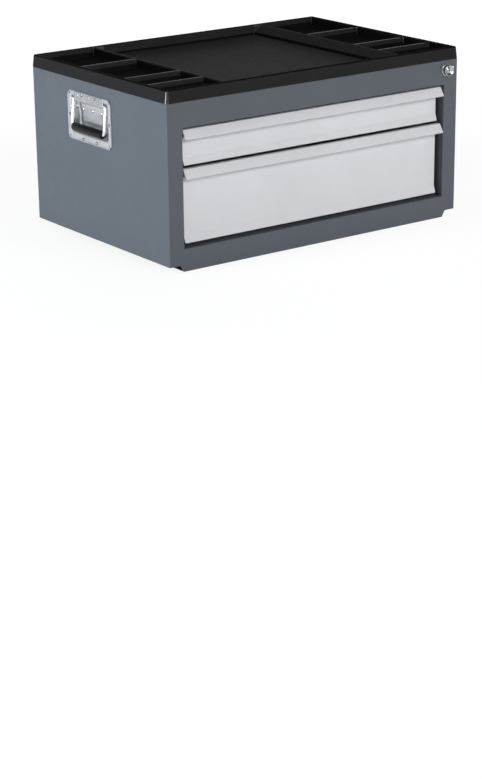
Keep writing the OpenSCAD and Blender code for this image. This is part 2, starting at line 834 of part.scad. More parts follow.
module handle_rivets() {
    color(chrome) at_handle() {
        for (p = plain_rivets)
            translate([plate_t, p[0], p[1]]) rotate([0, 90, 0]) rivet(plate_t + sheet_t);
        for (p = bridge_rivets)
            translate([2 * plate_t, p[0], p[1]]) rotate([0, 90, 0]) rivet(2 * plate_t + sheet_t);
    }
}

front_frame();
on_side("left") side_panel();  // side_panel_left
on_side("right") side_panel();  // side_panel_right
back_panel();
base_pan();
top_deck();
on_side("left") rear_upright();  // rear_upright_left
on_side("right") rear_upright();  // rear_upright_right
top_tray();
back_panel_rivets();
plinth_rivet_nuts();
lock_housing();
lock_nut();
lock_plug();
lock_cam();
lock_cam_screw();
lock_bar();
lock_bar_guides();
rail_stops();
on_side("left") outer_rail(0);  // drawer_1_outer_rail_left
on_side("right") outer_rail(0);  // drawer_1_outer_rail_right
on_side("left") middle_rail(0);  // drawer_1_middle_rail_left
on_side("right") middle_rail(0);  // drawer_1_middle_rail_right
on_side("left") inner_rail(0);  // drawer_1_inner_rail_left
on_side("right") inner_rail(0);  // drawer_1_inner_rail_right
drawer_box(0);  // drawer_1_box
drawer_front(0);  // drawer_1_front
drawer_liner(0);  // drawer_1_liner
drawer_catch(0);  // drawer_1_catch
on_side("left") outer_rail(1);  // drawer_2_outer_rail_left
on_side("right") outer_rail(1);  // drawer_2_outer_rail_right
on_side("left") middle_rail(1);  // drawer_2_middle_rail_left
on_side("right") middle_rail(1);  // drawer_2_middle_rail_right
on_side("left") inner_rail(1);  // drawer_2_inner_rail_left
on_side("right") inner_rail(1);  // drawer_2_inner_rail_right
drawer_box(1);  // drawer_2_box
drawer_front(1);  // drawer_2_front
drawer_liner(1);  // drawer_2_liner
drawer_catch(1);  // drawer_2_catch
on_side("left") handle_dish();  // handle_dish_left
on_side("left") handle_bridge();  // handle_bridge_left
on_side("left") handle_bail();  // handle_bail_left
on_side("left") handle_grip();  // handle_grip_left
on_side("left") handle_rivets();  // handle_rivets_left
on_side("right") handle_dish();  // handle_dish_right
on_side("right") handle_bridge();  // handle_bridge_right
on_side("right") handle_bail();  // handle_bail_right
on_side("right") handle_grip();  // handle_grip_right
on_side("right") handle_rivets();  // handle_rivets_right
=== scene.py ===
"""Looks of the tool chest: finishes, pressed and moulded forms, light and camera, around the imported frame.
Lengths are in metres where no heading says millimetres. Axes: +X right, -Y front, +Z up."""
import json
import math

import bmesh
import bpy
from mathutils import Matrix, Vector


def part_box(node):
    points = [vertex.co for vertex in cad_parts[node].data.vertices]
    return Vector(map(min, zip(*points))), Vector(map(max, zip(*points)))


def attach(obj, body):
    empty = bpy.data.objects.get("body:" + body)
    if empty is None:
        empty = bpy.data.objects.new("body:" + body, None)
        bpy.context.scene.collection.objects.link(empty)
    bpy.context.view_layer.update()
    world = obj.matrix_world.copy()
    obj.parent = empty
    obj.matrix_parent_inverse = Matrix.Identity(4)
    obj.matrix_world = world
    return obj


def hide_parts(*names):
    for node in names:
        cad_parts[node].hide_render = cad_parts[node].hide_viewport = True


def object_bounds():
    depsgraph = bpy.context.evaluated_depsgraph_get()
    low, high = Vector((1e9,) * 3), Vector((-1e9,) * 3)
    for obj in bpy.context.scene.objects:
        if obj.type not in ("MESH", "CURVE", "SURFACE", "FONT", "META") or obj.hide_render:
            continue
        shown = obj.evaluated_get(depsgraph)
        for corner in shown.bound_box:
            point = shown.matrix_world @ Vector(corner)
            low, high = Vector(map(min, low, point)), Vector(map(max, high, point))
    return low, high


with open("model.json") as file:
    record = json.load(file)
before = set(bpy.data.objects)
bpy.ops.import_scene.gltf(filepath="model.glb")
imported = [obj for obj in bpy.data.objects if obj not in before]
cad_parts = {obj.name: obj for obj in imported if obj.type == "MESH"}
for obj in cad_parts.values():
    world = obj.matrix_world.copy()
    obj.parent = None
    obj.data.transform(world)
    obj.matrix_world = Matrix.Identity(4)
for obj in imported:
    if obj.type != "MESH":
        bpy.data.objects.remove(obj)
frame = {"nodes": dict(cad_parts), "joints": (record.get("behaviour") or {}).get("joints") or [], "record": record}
cad_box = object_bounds()

MM = 0.001
SIDES = {"left": -1, "right": 1}
nodes = frame["nodes"]
record = frame["record"]
openings = {o["name"]: o["box_m"] for o in record["physics"]["openings"]}

# Tray; the values without MM are shares, counts, a cosine and a power
TRAY_RIM_W = 9 * MM
TRAY_RIM_H = 1.5 * MM
TRAY_RIB_DROP = 2.5 * MM
TRAY_WALL_RUN = 2 * MM
TRAY_RAMP_RUN = 20 * MM
TRAY_STEP_RUN = 0.8 * MM
TRAY_STEP_H = 4 * MM
TRAY_STEP_ROUND = 0.2
TRAY_FLOOR_ROUND = 0.8 * MM
TRAY_RIB_ROUND = 0.6 * MM
TRAY_RIB_BAND = 1.5 * TRAY_RIB_ROUND
TRAY_BOX_CLEARANCE = 0.3 * MM
TRAY_GROOVE_W = 4.5 * MM
TRAY_GROOVE_DEPTH = 1.2 * MM
TRAY_GROOVE_MIDDLE = 0.65
TRAY_EDGE_R = 3 * MM
TRAY_CORNER_R = 6 * MM
TRAY_SKIRT_DRAFT = 2.6 * MM
TRAY_BORDER = TRAY_EDGE_R + TRAY_SKIRT_DRAFT + 1 * MM
TRAY_SKIRT_T = 1.7 * MM
TRAY_SKIRT_LAP = 2 * MM
TRAY_SKIRT_FOOT = ((0.1 * MM, 0.6 * MM), (0.5 * MM, 0))
TRAY_LEAST_R = 0.8 * MM
TRAY_CORNER_STEPS = 8
TRAY_EDGE_STEPS = 4
TRAY_STEEPNESS = 0.5
TRAY_CORNER_POWER = 4

# The tray's rim, in millimetres beyond its inner line, and grid lines at shares of the step and the groove
TRAY_RIM_LEAD = 0.5
TRAY_RIM_ROUND = 0.3
TRAY_RIM_LINES = (-0.9, -0.5, 0.1, 0.6, 1.0)
TRAY_STEP_LINES = (0.2, 0.5, 0.8, 1.0, 1.2)
TRAY_GROOVE_LINES = (0.15, 0.3, 0.5, 0.8, 1.0, 1.15)
TRAY_LINE_GAP = 0.06 * MM

# Drawer fronts
SHEET_T = 1.2 * MM
FOLD_R = 1.3 * MM
LIP_H = 16.7 * MM
LIP_FLAT = 9 * MM
PANEL_OVERHANG = 3.8 * MM
FLARE_H = 14.5 * MM
FLARE_OUT = 5 * MM
RELIEF_W = 5 * MM
CORNER_CUT = 1.2 * MM

# Drawer mats; a rib's outline is a share of the pitch and a drop below the top
MAT_RIB_PITCH = 6 * MM
MAT_RIB_H = 0.6 * MM
MAT_RIB_OUTLINE = ((0.0, MAT_RIB_H), (0.2, MAT_RIB_H), (0.35, 0), (0.85, 0))

# Handles, in millimetres from the middle of the plate: u along the panel, v up, w out of the panel.
# An edge is a list of insets or growths with their w, and shapes are shares of a radius and a height.
PLATE_CORNER_R = 12
PLATE_T = 1.5
BEAD_H = 1.1
PLATE_EDGE = (
    (0, 0.1), (0, 0.9), (0.4, 1.6), (1.1, PLATE_T + BEAD_H * 0.9), (1.9, PLATE_T + BEAD_H),
    (2.7, PLATE_T + BEAD_H * 0.7), (3.2, PLATE_T - 0.2), (3.8, PLATE_T - 0.3), (4.6, PLATE_T),
)
RECESS_L2 = 63.5
RECESS_UP = 37.6
RECESS_DOWN = -32.5
RECESS_CORNER_R = 6
RECESS_DEPTH = 18.5
RECESS_TOP_DEPTH = 10
RECESS_BEND = 1
RECESS_SLOPE = 6
RECESS_LIP = 1.2
RECESS_EDGE = ((3.2, PLATE_T), (2.0, 1.3), (1.0, 0.8), (0.3, 0.0), (0, -RECESS_LIP))
RECESS_FLOOR_R = 5.8
WALL_SHARES = (0.2, 0.5, 0.8, 0.92, 0.98, 1.0)
WALL_DRAFT = 0.6
WALL_FLARE_FROM = 0.9
WALL_FLARE = 2.0
FOOT_FLARE = 1.0
FLOOR_SHARES = (0.8, 0.6, 0.4, 0.2, 0.05)
WALL_STEEPNESS = 0.7
CREASE_GAP = 0.01
RIVET_EDGE = 5.5
LEG_R = 4
LEG_SEGMENTS = 32
BEND_STEPS = 10
PIN_R = 2.6
PIN_IN = 36
PIN_CLEARANCE = 0.15
KNUCKLE_R = 4.6
KNUCKLE_IN = 51.2
KNUCKLE_CHAMFERS = (0.5, 0.8)
BEND_R = 8
TUBE_R = 4
COVER_CORNER_R = 2
BOSS_R = 4.5
BOSS_H = 0.8
BOSS_V = 40.5
BOSS_COUNT = 3
BOSS_PITCH = 40
BOSS_SHAPE = ((0.88, 0.3), (0.66, 0.75), (0.35, 1))
GRIP_END_R = 3
GRIP_END_STEPS = 6
COVER_FACE = 2 * PLATE_T
COVER_EDGE = 1
COVER_BEND = 0.3
DIMPLE_R = 3.4
DIMPLE_H = 1.1
DIMPLE_V = 10
DIMPLE_COUNT = 4
DIMPLE_PITCH = 32
DIMPLE_SHAPE = ((0.85, 0.4), (0.6, 0.8), (0.3, 1))
DOME_SINK = 0.1
RIVET_FLANGE = ((3.2, -0.2), (3.2, 0.15), (2.9, 0.4), (1.3, 0.5))
RIVET_BUTTON = ((1.5, 0.3), (1.5, 0.6), (1.3, 0.9), (0.8, 1.1), (0.4, 1.1))

# Lock, in millimetres: radii and depths behind the head's front; mouth and rims are offsets from a radius
LOCK_HEAD_R = 11
LOCK_HEAD_L = 10
LOCK_RING_T = 2
LOCK_BODY_R = 8.5
PLUG_FACE_L = 4
PLUG_R = 6
KEYWAY_HALF = (0.9, 3.2)
KEYWAY_FLOOR = 3.6
PLUG_BOSS_TOP = 1.3
PLUG_DISH = ((4.0, PLUG_BOSS_TOP), (4.3, 1.5), (4.6, 2.6), (5.4, 2.9), (6.4, 2.4))
PLUG_RIM = ((0.3, 1.1), (0, 1.3))
PLUG_SEGMENTS = 64
HEAD_MOUTH = ((0, 1.4), (1.9, 0.25), (2.3, 0))
HEAD_RIM = ((0.6, 0.1), (0.2, 0.4), (0, 1.0))
LOCK_FOOT_R = 0.4
LOCK_FOOT_FILLET = 0.3
LOCK_FOOT_SLOPE = 0.1
LEAST_COSINE = 1e-6

# Softened edges of sheet and CAD nodes: distance in metres, angles in degrees
WELD_GAP = 1e-6
FLAT_ANGLE = 0.5
EDGE_ANGLE = 30
EDGE_SEGMENTS = 2

# Camera, worked out from the photograph's vanishing lines: degrees, and millimetres for the lens
CAMERA_PLACE = (-2.410, -3.279, 1.0865)
CAMERA_YAW = 36.08
CAMERA_PITCH = 19.60
CAMERA_ROLL = -0.65
CAMERA_LENS = 96.84
CAMERA_SENSOR = 36


# Mesh helpers

def ring_faces(count, start_a, start_b):
    """Quads between two closed rings of count points, given the numbers of their first points."""
    faces = []
    for i in range(count):
        j = (i + 1) % count
        faces.append((start_a + i, start_a + j, start_b + j, start_b + i))
    return faces


def loft(rings, cap_start=True, cap_end=True):
    """Points and faces of a skin over closed rings with equally many points."""
    count = len(rings[0])
    points = [p for ring in rings for p in ring]
    faces = []
    for k in range(len(rings) - 1):
        faces += ring_faces(count, k * count, (k + 1) * count)
    if cap_start:
        faces.append(tuple(reversed(range(count))))
    if cap_end:
        faces.append(tuple(range(len(points) - count, len(points))))
    return points, faces


def lathe(profile, place, axis, segments=48, bored=False):
    """A turned body: profile holds (radius, distance along the axis) pairs, axis is a unit direction.
    A bored body's profile closes on itself."""
    axis = Vector(axis)
    side = axis.orthogonal().normalized()
    other = axis.cross(side)
    rings = []
    for radius, along in profile:
        centre = Vector(place) + axis * along
        ring = []
        for k in range(segments):
            turn = 2 * math.pi * k / segments
            ring.append(centre + (side * math.cos(turn) + other * math.sin(turn)) * radius)
        rings.append(ring)
    points, faces = loft(rings, cap_start=not bored, cap_end=not bored)
    if bored:
        faces += ring_faces(segments, len(points) - segments, 0)
    return points, faces


def in_metres(profile):
    """A profile given in millimetres."""
    return [(radius * MM, along * MM) for radius, along in profile]


def dome(radius, height, shape):
    """Profile of a low dome, from shares of its radius and height, with its foot sunk in a little."""
    return in_metres([(radius, -DOME_SINK)] + [(radius * r, height * h) for r, h in shape])


def spaced(count, pitch):
    """Places of a row of pieces about its middle."""
    return [(k - (count - 1) / 2) * pitch for k in range(count)]


def join_shells(shells):
    """One list of points and faces from several."""
    points, faces = [], []
    for more_points, more_faces in shells:
        start = len(points)
        points += more_points
        faces += [tuple(start + i for i in face) for face in more_faces]
    return points, faces


def new_object(name, data):
    """An object with that data, in the scene."""
    made = bpy.data.objects.new(name, data)
    bpy.context.scene.collection.objects.link(made)
    return made


def add_piece(name, shell, finishes, body, stands_for=(), sharp_angle=35):
    """A mesh piece with smooth faces and sharp creases, riding on a body."""
    points, faces = shell
    mesh = bpy.data.meshes.new(name)
    mesh.from_pydata([tuple(p) for p in points], [], faces)
    made = bmesh.new()
    made.from_mesh(mesh)
    bmesh.ops.recalc_face_normals(made, faces=made.faces)
    made.to_mesh(mesh)
    made.free()
    mesh.shade_smooth()
    mesh.set_sharp_from_angle(angle=math.radians(sharp_angle))
    for finish in finishes:
        mesh.materials.append(finish)
    piece = new_object(name, mesh)
    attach(piece, body)
    if stands_for:
        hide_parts(*stands_for)
    return piece


def soften(piece, width):
    """Rounds a piece's edges and evens out its shading, without changing its mesh."""
    weld = piece.modifiers.new("weld", "WELD")
    weld.merge_threshold = WELD_GAP
    flat = piece.modifiers.new("flat", "DECIMATE")
    flat.decimate_type = "DISSOLVE"
    flat.angle_limit = math.radians(FLAT_ANGLE)
    bevel = piece.modifiers.new("edges", "BEVEL")
    bevel.width = width
    bevel.segments = EDGE_SEGMENTS
    bevel.limit_method = "ANGLE"
    bevel.angle_limit = math.radians(EDGE_ANGLE)
    bevel.harden_normals = False
    even_shading(piece)


def even_shading(piece):
    """Weights the normals by face size, so that flats stay flat beside small rounds."""
    even = piece.modifiers.new("even", "WEIGHTED_NORMAL")
    even.keep_sharp = True


def arc(centre, radius, start, end, steps):
    """Points of an arc in a plane, angles in degrees, both ends included."""
    points = []
    for k in range(steps + 1):
        turn = math.radians(start + (end - start) * k / steps)
        points.append((centre[0] + radius * math.cos(turn), centre[1] + radius * math.sin(turn)))
    return points


def filleted(points, radius, steps=5):
    """A polyline in a plane with its inner corners rounded."""
    made = [Vector(points[0])]
    for before, corner, after in zip(points, points[1:], points[2:]):
        before, corner, after = Vector(before), Vector(corner), Vector(after)
        back = (before - corner).normalized()
        ahead = (after - corner).normalized()
        half = back.angle(ahead) / 2
        reach = radius / math.tan(half)
        centre = corner + (back + ahead).normalized() * (radius / math.sin(half))
        first = corner + back * reach - centre
        sweep = math.pi - 2 * half
        sign = 1 if back.x * ahead.y - back.y * ahead.x < 0 else -1
        for k in range(steps + 1):
            made.append(centre + Matrix.Rotation(sign * sweep * k / steps, 2) @ first)
    made.append(Vector(points[-1]))
    return made


def offset_line(points, distance):
    """A polyline in a plane moved sideways, to the left of its direction, with mitred corners."""
    made = []
    last = len(points) - 1
    for k, point in enumerate(points):
        normals = []
        for a, b in ((k - 1, k), (k, k + 1)):
            if 0 <= a and b <= last:
                run = (Vector(points[b]) - Vector(points[a])).normalized()
                normals.append(Vector((-run.y, run.x)))
        mean = (normals[0] + normals[-1]).normalized()
        made.append(Vector(point) + mean * (distance / mean.dot(normals[0])))
    return made


def ramp(value, rounding):
    """Zero below 0 and value above it, with a rounded bend."""
    if value <= -rounding:
        return 0.0
    if value >= rounding:
        return value
    return (value + rounding) ** 2 / (4 * rounding)


def climb(value, low_round, high_round):
    """Goes from 0 to 1 as value does, with rounded bends at both ends."""
    return ramp(value, low_round) - ramp(value - 1, high_round)


# Materials

def srgb(red, green, blue):
    """A colour given in steps of 0 to 255, as linear values."""
    made = []
    for step in (red, green, blue):
        share = step / 255
        made.append(share / 12.92 if share <= 0.04045 else ((share + 0.055) / 1.055) ** 2.4)
    return (*made, 1.0)


def shade(colour, factor):
    """A colour made lighter or darker."""
    return (*(min(1.0, c * factor) for c in colour[:3]), 1.0)


def mapped(tree, source, low, high, start=0.0, end=1.0):
    """An output that goes from low to high, a number or an output, as the source goes from start to end."""
    span = tree.nodes.new("ShaderNodeMapRange")
    span.inputs["From Min"].default_value = start
    span.inputs["From Max"].default_value = end
    span.inputs["To Min"].default_value = low
    if isinstance(high, bpy.types.NodeSocket):
        tree.links.new(high, span.inputs["To Max"])
    else:
        span.inputs["To Max"].default_value = high
    tree.links.new(source, span.inputs["Value"])
    return span.outputs["Result"]


class Finish:
    """A material made of nodes around one Principled shader, in the part's own coordinates."""

    def __init__(self, name, **values):
        self.material = bpy.data.materials.new(name)
        self.material.use_nodes = True
        self.tree = self.material.node_tree
        self.shader = self.tree.nodes["Principled BSDF"]
        for socket, value in values.items():
            self.shader.inputs[socket.replace("_", " ")].default_value = value
        self.coords = self.add("ShaderNodeTexCoord").outputs["Object"]
        self.normal = None

    def add(self, kind):
        return self.tree.nodes.new(kind)

    def link(self, source, target):
        self.tree.links.new(source, target)

    def stretched(self, stretch):
        mapping = self.add("ShaderNodeMapping")
        mapping.inputs["Scale"].default_value = stretch
        self.link(self.coords, mapping.inputs["Vector"])
        return mapping.outputs["Vector"]

    def noise(self, scale, detail=2.0, stretch=(1, 1, 1)):
        """Noise with about scale grains to the metre."""
        texture = self.add("ShaderNodeTexNoise")
        texture.inputs["Scale"].default_value = scale
        texture.inputs["Detail"].default_value = detail
        self.link(self.stretched(stretch), texture.inputs["Vector"])
        return texture.outputs["Fac"]

    def cells(self, scale, output="Distance"):
        """Cells with about scale of them to the metre."""
        texture = self.add("ShaderNodeTexVoronoi")
        texture.inputs["Scale"].default_value = scale
        self.link(self.coords, texture.inputs["Vector"])
        return texture.outputs[output]

    def spread(self, source, low, high, start=0.3, end=0.7):
        """Maps the middle of a noise's range to low up to high."""
        return mapped(self.tree, source, low, high, start, end)

    def between(self, factor, first, second):
        """A colour between two others, each a colour or an output."""
        mix = self.add("ShaderNodeMix")
        mix.data_type = "RGBA"
        self.link(factor, mix.inputs["Factor"])
        for key, value in (("A", first), ("B", second)):
            socket = next(s for s in mix.inputs if s.name == key and s.type == "RGBA")
            if isinstance(value, tuple):
                socket.default_value = value
            else:
                self.link(value, socket)
        return next(s for s in mix.outputs if s.type == "RGBA")

    def mottled(self, source, colour, dark, pale):
        """A colour that wanders between a darker and a paler shade."""
        return self.between(self.spread(source, 0, 1), shade(colour, dark), shade(colour, pale))

    def painted_edge_highlight(self, base, pale, radius, gain):
        """The base colour, paler towards the part's edges: a painted highlight."""
        bevel = self.add("ShaderNodeBevel")
        bevel.samples = 8
        bevel.inputs["Radius"].default_value = radius
        geometry = self.add("ShaderNodeNewGeometry")
        dot = self.add("ShaderNodeVectorMath")
        dot.operation = "DOT_PRODUCT"
        self.link(bevel.outputs["Normal"], dot.inputs[0])
        self.link(geometry.outputs["Normal"], dot.inputs[1])
        mask = self.spread(dot.outputs["Value"], gain, 0.0, start=0.7, end=0.98)
        return self.between(mask, base, pale)

    def relief(self, height, depth, strength=1.0):
        """Adds a bump of that depth over what the normal already has."""
        bump = self.add("ShaderNodeBump")
        bump.inputs["Strength"].default_value = strength
        bump.inputs["Distance"].default_value = depth
        self.link(height, bump.inputs["Height"])
        if self.normal:
            self.link(self.normal, bump.inputs["Normal"])
        self.normal = bump.outputs["Normal"]
        self.link(self.normal, self.shader.inputs["Normal"])

    def colour(self, source):
        self.link(source, self.shader.inputs["Base Color"])

    def roughness(self, source):
        self.link(source, self.shader.inputs["Roughness"])


def powder_coat(name, colour, roughness):
    """Satin powder coat: fine orange peel, faint mottling, and a painted highlight that makes it a little paler
    along the folds.
    """
    finish = Finish(name, Specular_IOR_Level=0.25)
    mottle = finish.noise(scale=5, detail=4)
    base = finish.mottled(mottle, colour, 0.965, 1.035)
    speck = finish.noise(scale=900, detail=1)
    base = finish.between(finish.spread(speck, 0, 0.22, start=0.45, end=0.8), base, shade(colour, 1.25))
    # Paler along the folds: a painted highlight.
    finish.colour(finish.painted_edge_highlight(base, shade(colour, 1.45), 1.2 * MM, gain=0.35))
    finish.roughness(finish.spread(finish.noise(scale=60), roughness - 0.05, roughness + 0.05))
    finish.relief(finish.noise(scale=420, detail=3), 0.10 * MM, strength=0.35)
    return finish.material


def moulded_plastic(name, colour, roughness, specular, grain):
    """Black moulding with a leather grain of the given depth, and edges paler as a painted highlight."""
    finish = Finish(name, Specular_IOR_Level=specular)
    cloud = finish.noise(scale=14, detail=3)
    base = finish.mottled(cloud, colour, 0.93, 1.08)
    # Paler along the edges and rib tops: a painted highlight.
    finish.colour(finish.painted_edge_highlight(base, shade(colour, 2.4), 0.8 * MM, gain=0.5))
    finish.roughness(finish.spread(finish.noise(scale=90), roughness - 0.03, roughness + 0.03))
    finish.relief(finish.cells(scale=620), grain, strength=0.5)
    finish.relief(finish.noise(scale=1500, detail=1), grain / 3, strength=0.4)
    return finish.material


def plated(name, colour, roughness, wave, metallic=1.0):
    """Plated steel: soft waves from the pressing, hair-fine marks and patches of dulled plating."""
    finish = Finish(name, Metallic=metallic)
    patch = finish.noise(scale=45, detail=4)
    finish.colour(finish.mottled(patch, colour, 0.88, 1.08))
    finish.roughness(finish.spread(finish.noise(scale=120, detail=4), roughness * 0.7, roughness * 1.35))
    finish.relief(finish.noise(scale=70, detail=1), wave * MM, strength=0.5)
    finish.relief(finish.noise(scale=900, detail=2, stretch=(1, 0.06, 1)), 0.02 * MM, strength=0.4)
    return finish.material


def zinc_plate(name, colour):
    """Zinc-plated strip: faint spangle cells and rolling marks along the rails."""
    finish = Finish(name, Metallic=1.0)
    spangle = finish.cells(scale=260, output="Color")
    lines = finish.noise(scale=700, detail=3, stretch=(1, 0.02, 1))
    base = finish.mottled(lines, colour, 0.85, 1.1)
    tone = finish.add("ShaderNodeRGBToBW")
    finish.link(spangle, tone.inputs["Color"])
    flakes = finish.spread(tone.outputs["Val"], 0, 0.35, start=0, end=1)
    finish.colour(finish.between(flakes, base, shade(colour, 0.7)))
    finish.roughness(finish.spread(lines, 0.26, 0.42))
    finish.relief(lines, 0.02 * MM, strength=0.5)
    return finish.material


def soft_black(name, colour, roughness, specular=0.3):
    """Rubber or soft plastic: fine pores, a dusty mottled tone, a low sheen, and edges paler as a painted
    highlight.
    """
    finish = Finish(name, Specular_IOR_Level=specular)
    dust = finish.noise(scale=30, detail=5)
    base = finish.mottled(dust, colour, 0.8, 1.3)
    # Paler along the edges: a painted highlight.
    finish.colour(finish.painted_edge_highlight(base, shade(colour, 2.0), 1.0 * MM, gain=0.4))
    finish.roughness(finish.spread(finish.noise(scale=200), roughness - 0.08, roughness + 0.06))
    finish.relief(finish.noise(scale=1300, detail=2), 0.05 * MM, strength=0.6)
    return finish.material


slate_paint = powder_coat("slate_powder_coat", srgb(86, 91, 98), 0.42)
grey_paint = powder_coat("light_grey_powder_coat", srgb(211, 212, 216), 0.45)
tray_grain = moulded_plastic("grained_tray", srgb(35, 35, 35), 0.50, 0.08, 0.04 * MM)
tray_skirt = moulded_plastic("smooth_tray_skirt", srgb(36, 35, 35), 0.55, 0.05, 0.012 * MM)
# Glossier and a little paler than the grain: the paler colour is a painted highlight on the skirt's corners, the
# compartments' corners and the rib tops.
tray_gloss_and_painted_highlight = moulded_plastic("polished_tray_corner", srgb(40, 40, 40), 0.16, 0.50, 0.004 * MM)
# Darker than the grain: painted shade in the small compartments.
tray_pocket_painted_shade = moulded_plastic("deep_tray_pocket", srgb(13, 13, 13), 0.60, 0.04, 0.04 * MM)
# Near black: the rim's top, and painted shade in the middle compartment's groove and at the foot of its ramps.
tray_rim_and_painted_shade = moulded_plastic("smooth_tray_rim", srgb(8, 8, 8), 0.60, 0.04, 0.02 * MM)
bright_chrome = plated("bright_chrome", srgb(230, 231, 232), 0.14, 0.08)
lock_chrome = plated("lock_chrome", srgb(185, 186, 186), 0.08, 0.02)
satin_plate = plated("satin_plate", srgb(181, 181, 182), 0.46, 0.10, metallic=0.45)
# Paler and glossier than the satin plate: the paler colour is painted light on the recess's upper slope.
rubbed_plate = plated("rubbed_plate", srgb(205, 205, 206), 0.36, 0.10, metallic=0.45)
pressed_cover = plated("pressed_cover", srgb(166, 166, 168), 0.24, 0.20, metallic=0.6)
# Dark steel: the tube behind the cover, and painted shadow on the rivets' flanges and along the cover's lower
# edge.
rivet_steel = plated("rivet_steel", srgb(36, 36, 37), 0.50, 0.05, metallic=0.4)
zinc = zinc_plate("zinc_strip", srgb(178, 180, 184))
mat_rubber = soft_black("mat_rubber", srgb(34, 34, 35), 0.75)
grip_sleeve = soft_black("grip_sleeve", srgb(15, 16, 14), 0.42, specular=0.14)
# Black: painted shade inside the keyway.
keyway_black = soft_black("keyway_black", srgb(14, 14, 14), 0.6)
nylon = soft_black("black_nylon", srgb(30, 30, 31), 0.45)

# Finish and edge rounding, in millimetres, of the CAD nodes that are shown as they are
NODE_LOOKS = {
    "body_paint": (slate_paint, 0.45),
    "drawer_paint": (grey_paint, 0.3),
    "zinc_steel": (zinc, 0.25),
    "rubber": (mat_rubber, 0.4),
    "guide_plastic": (nylon, 0.5),
}
# The rivets' dark flanges are a painted shadow ring round each bright button.
RIVET_PARTS = (("flanges", RIVET_FLANGE, rivet_steel), ("buttons", RIVET_BUTTON, bright_chrome))


# Tray

def tray_compartments():
    """Floor rectangle and side run of each compartment, from the record's openings."""
    made = []
    for name, (low, high) in openings.items():
        if name.startswith("tray_"):
            run_x = TRAY_RAMP_RUN if name == "tray_middle" else TRAY_WALL_RUN
            made.append({
                "x": (low[0] - TRAY_BOX_CLEARANCE, high[0] + TRAY_BOX_CLEARANCE),
                "y": (low[1] - TRAY_BOX_CLEARANCE, high[1] + TRAY_BOX_CLEARANCE),
                "run": (run_x, TRAY_WALL_RUN),
                "floor": low[2] - TRAY_BOX_CLEARANCE,
                "middle": name == "tray_middle",
            })
    return made


def outside(value, span):
    """Distance outside a span, negative within it."""
    return max(span[0] - value, value - span[1])


# Tray finishes: the dark rim one also paints shade in the middle compartment's groove, the pocket one paints shade
# in the small compartments, and the glossy one paints highlights.
GRAIN, DARK_RIM_AND_PAINTED_SHADE, SKIRT, GLOSS_AND_PAINTED_HIGHLIGHT, POCKET_PAINTED_SHADE = range(5)


def tray_zone(centre, normal, compartments, high):
    """Which finish a face of the tray has; high is the upper corner of the tray's box."""
    from_side, from_end = high.x - abs(centre.x), high.y - abs(centre.y)
    if centre.z > high.z - TRAY_RIM_H:
        return DARK_RIM_AND_PAINTED_SHADE
    # The skirt, with a glossier and paler rounded corner: gloss, and a painted highlight.
    if min(from_side, from_end) < TRAY_BORDER:
        return GLOSS_AND_PAINTED_HIGHLIGHT if max(from_side, from_end) < TRAY_CORNER_R else SKIRT
    for room in compartments:
        across, along = outside(centre.x, room["x"]), outside(centre.y, room["y"])
        if across > room["run"][0] or along > room["run"][1]:
            continue
        # Painted highlight: the compartments' upright corners.
        if across > 0 and along > 0:
            return GLOSS_AND_PAINTED_HIGHLIGHT
        edge = max(across, along)
        if room["middle"]:
            # Painted shade: the groove round the middle floor and the step at the foot of its ramps get the
            # near-black rim finish.
            if edge > -TRAY_GROOVE_W and centre.z < room["floor"] + TRAY_STEP_H:
                return DARK_RIM_AND_PAINTED_SHADE
        # Painted shade: the small compartments' floors, their walls facing left and the lower halves of their
        # walls.
        elif edge < 0 or normal.x < -TRAY_STEEPNESS or centre.z < (room["floor"] + high.z) / 2:
            return POCKET_PAINTED_SHADE
    # Painted highlight: the rib tops beside the small compartments.
    on_rib = abs(centre.z - high.z + TRAY_RIB_DROP) < TRAY_RIB_BAND
    inside = min(from_side, from_end) > TRAY_RIM_W + TRAY_RIB_ROUND
    beside_pockets = any(outside(centre.x, room["x"]) < 0 for room in compartments if not room["middle"])
    return GLOSS_AND_PAINTED_HIGHLIGHT if on_rib and inside and beside_pockets else GRAIN


def tray_height(x, y, compartments, inner_x, inner_y, rim_z):
    """Height of the tray's upper surface."""
    rib_z = rim_z - TRAY_RIB_DROP
    height = rib_z
    for room in compartments:
        run_x, run_y = room["run"]
        across = outside(x, room["x"]) / run_x
        along = outside(y, room["y"]) / run_y
        run = run_x if across > along else run_y
        if across > 0 and along > 0:
            wall = (across ** TRAY_CORNER_POWER + along ** TRAY_CORNER_POWER) ** (1 / TRAY_CORNER_POWER)
        else:
            wall = max(across, along)
        share = climb(wall, TRAY_FLOOR_ROUND / run, TRAY_RIB_ROUND / run)
        level = room["floor"] + (rib_z - room["floor"]) * share
        if room["middle"] and across > along:
            step = climb(across * run_x / TRAY_STEP_RUN, TRAY_STEP_ROUND, TRAY_STEP_ROUND)
            above_step = (rib_z - room["floor"] - TRAY_STEP_H) * share
            level = min(max(level, room["floor"] + TRAY_STEP_H * step + above_step), rib_z)
        if room["middle"]:
            inside = -max(outside(x, room["x"]), outside(y, room["y"])) / TRAY_GROOVE_W
            from_middle = abs(2 * (inside - TRAY_GROOVE_MIDDLE))
            level -= TRAY_GROOVE_DEPTH * max(0.0, 1 - from_middle ** TRAY_CORNER_POWER)
        height = min(height, level)
    beyond = max(abs(x) - inner_x, abs(y) - inner_y) / MM
    return height + TRAY_RIB_DROP * climb(beyond + TRAY_RIM_LEAD, TRAY_RIM_ROUND, TRAY_RIM_ROUND)


def wall_lines(edge, run, outward):
    """Grid lines across a compartment's wall, which starts at the floor's edge."""
    low = TRAY_FLOOR_ROUND / run
    top = TRAY_RIB_ROUND / run
    steps = (-low, -low / 3, low / 3, low, 0.5, 1 - top, 1 - top / 3, 1 + top / 3, 1 + top)
    return [edge + outward * run * t for t in steps]


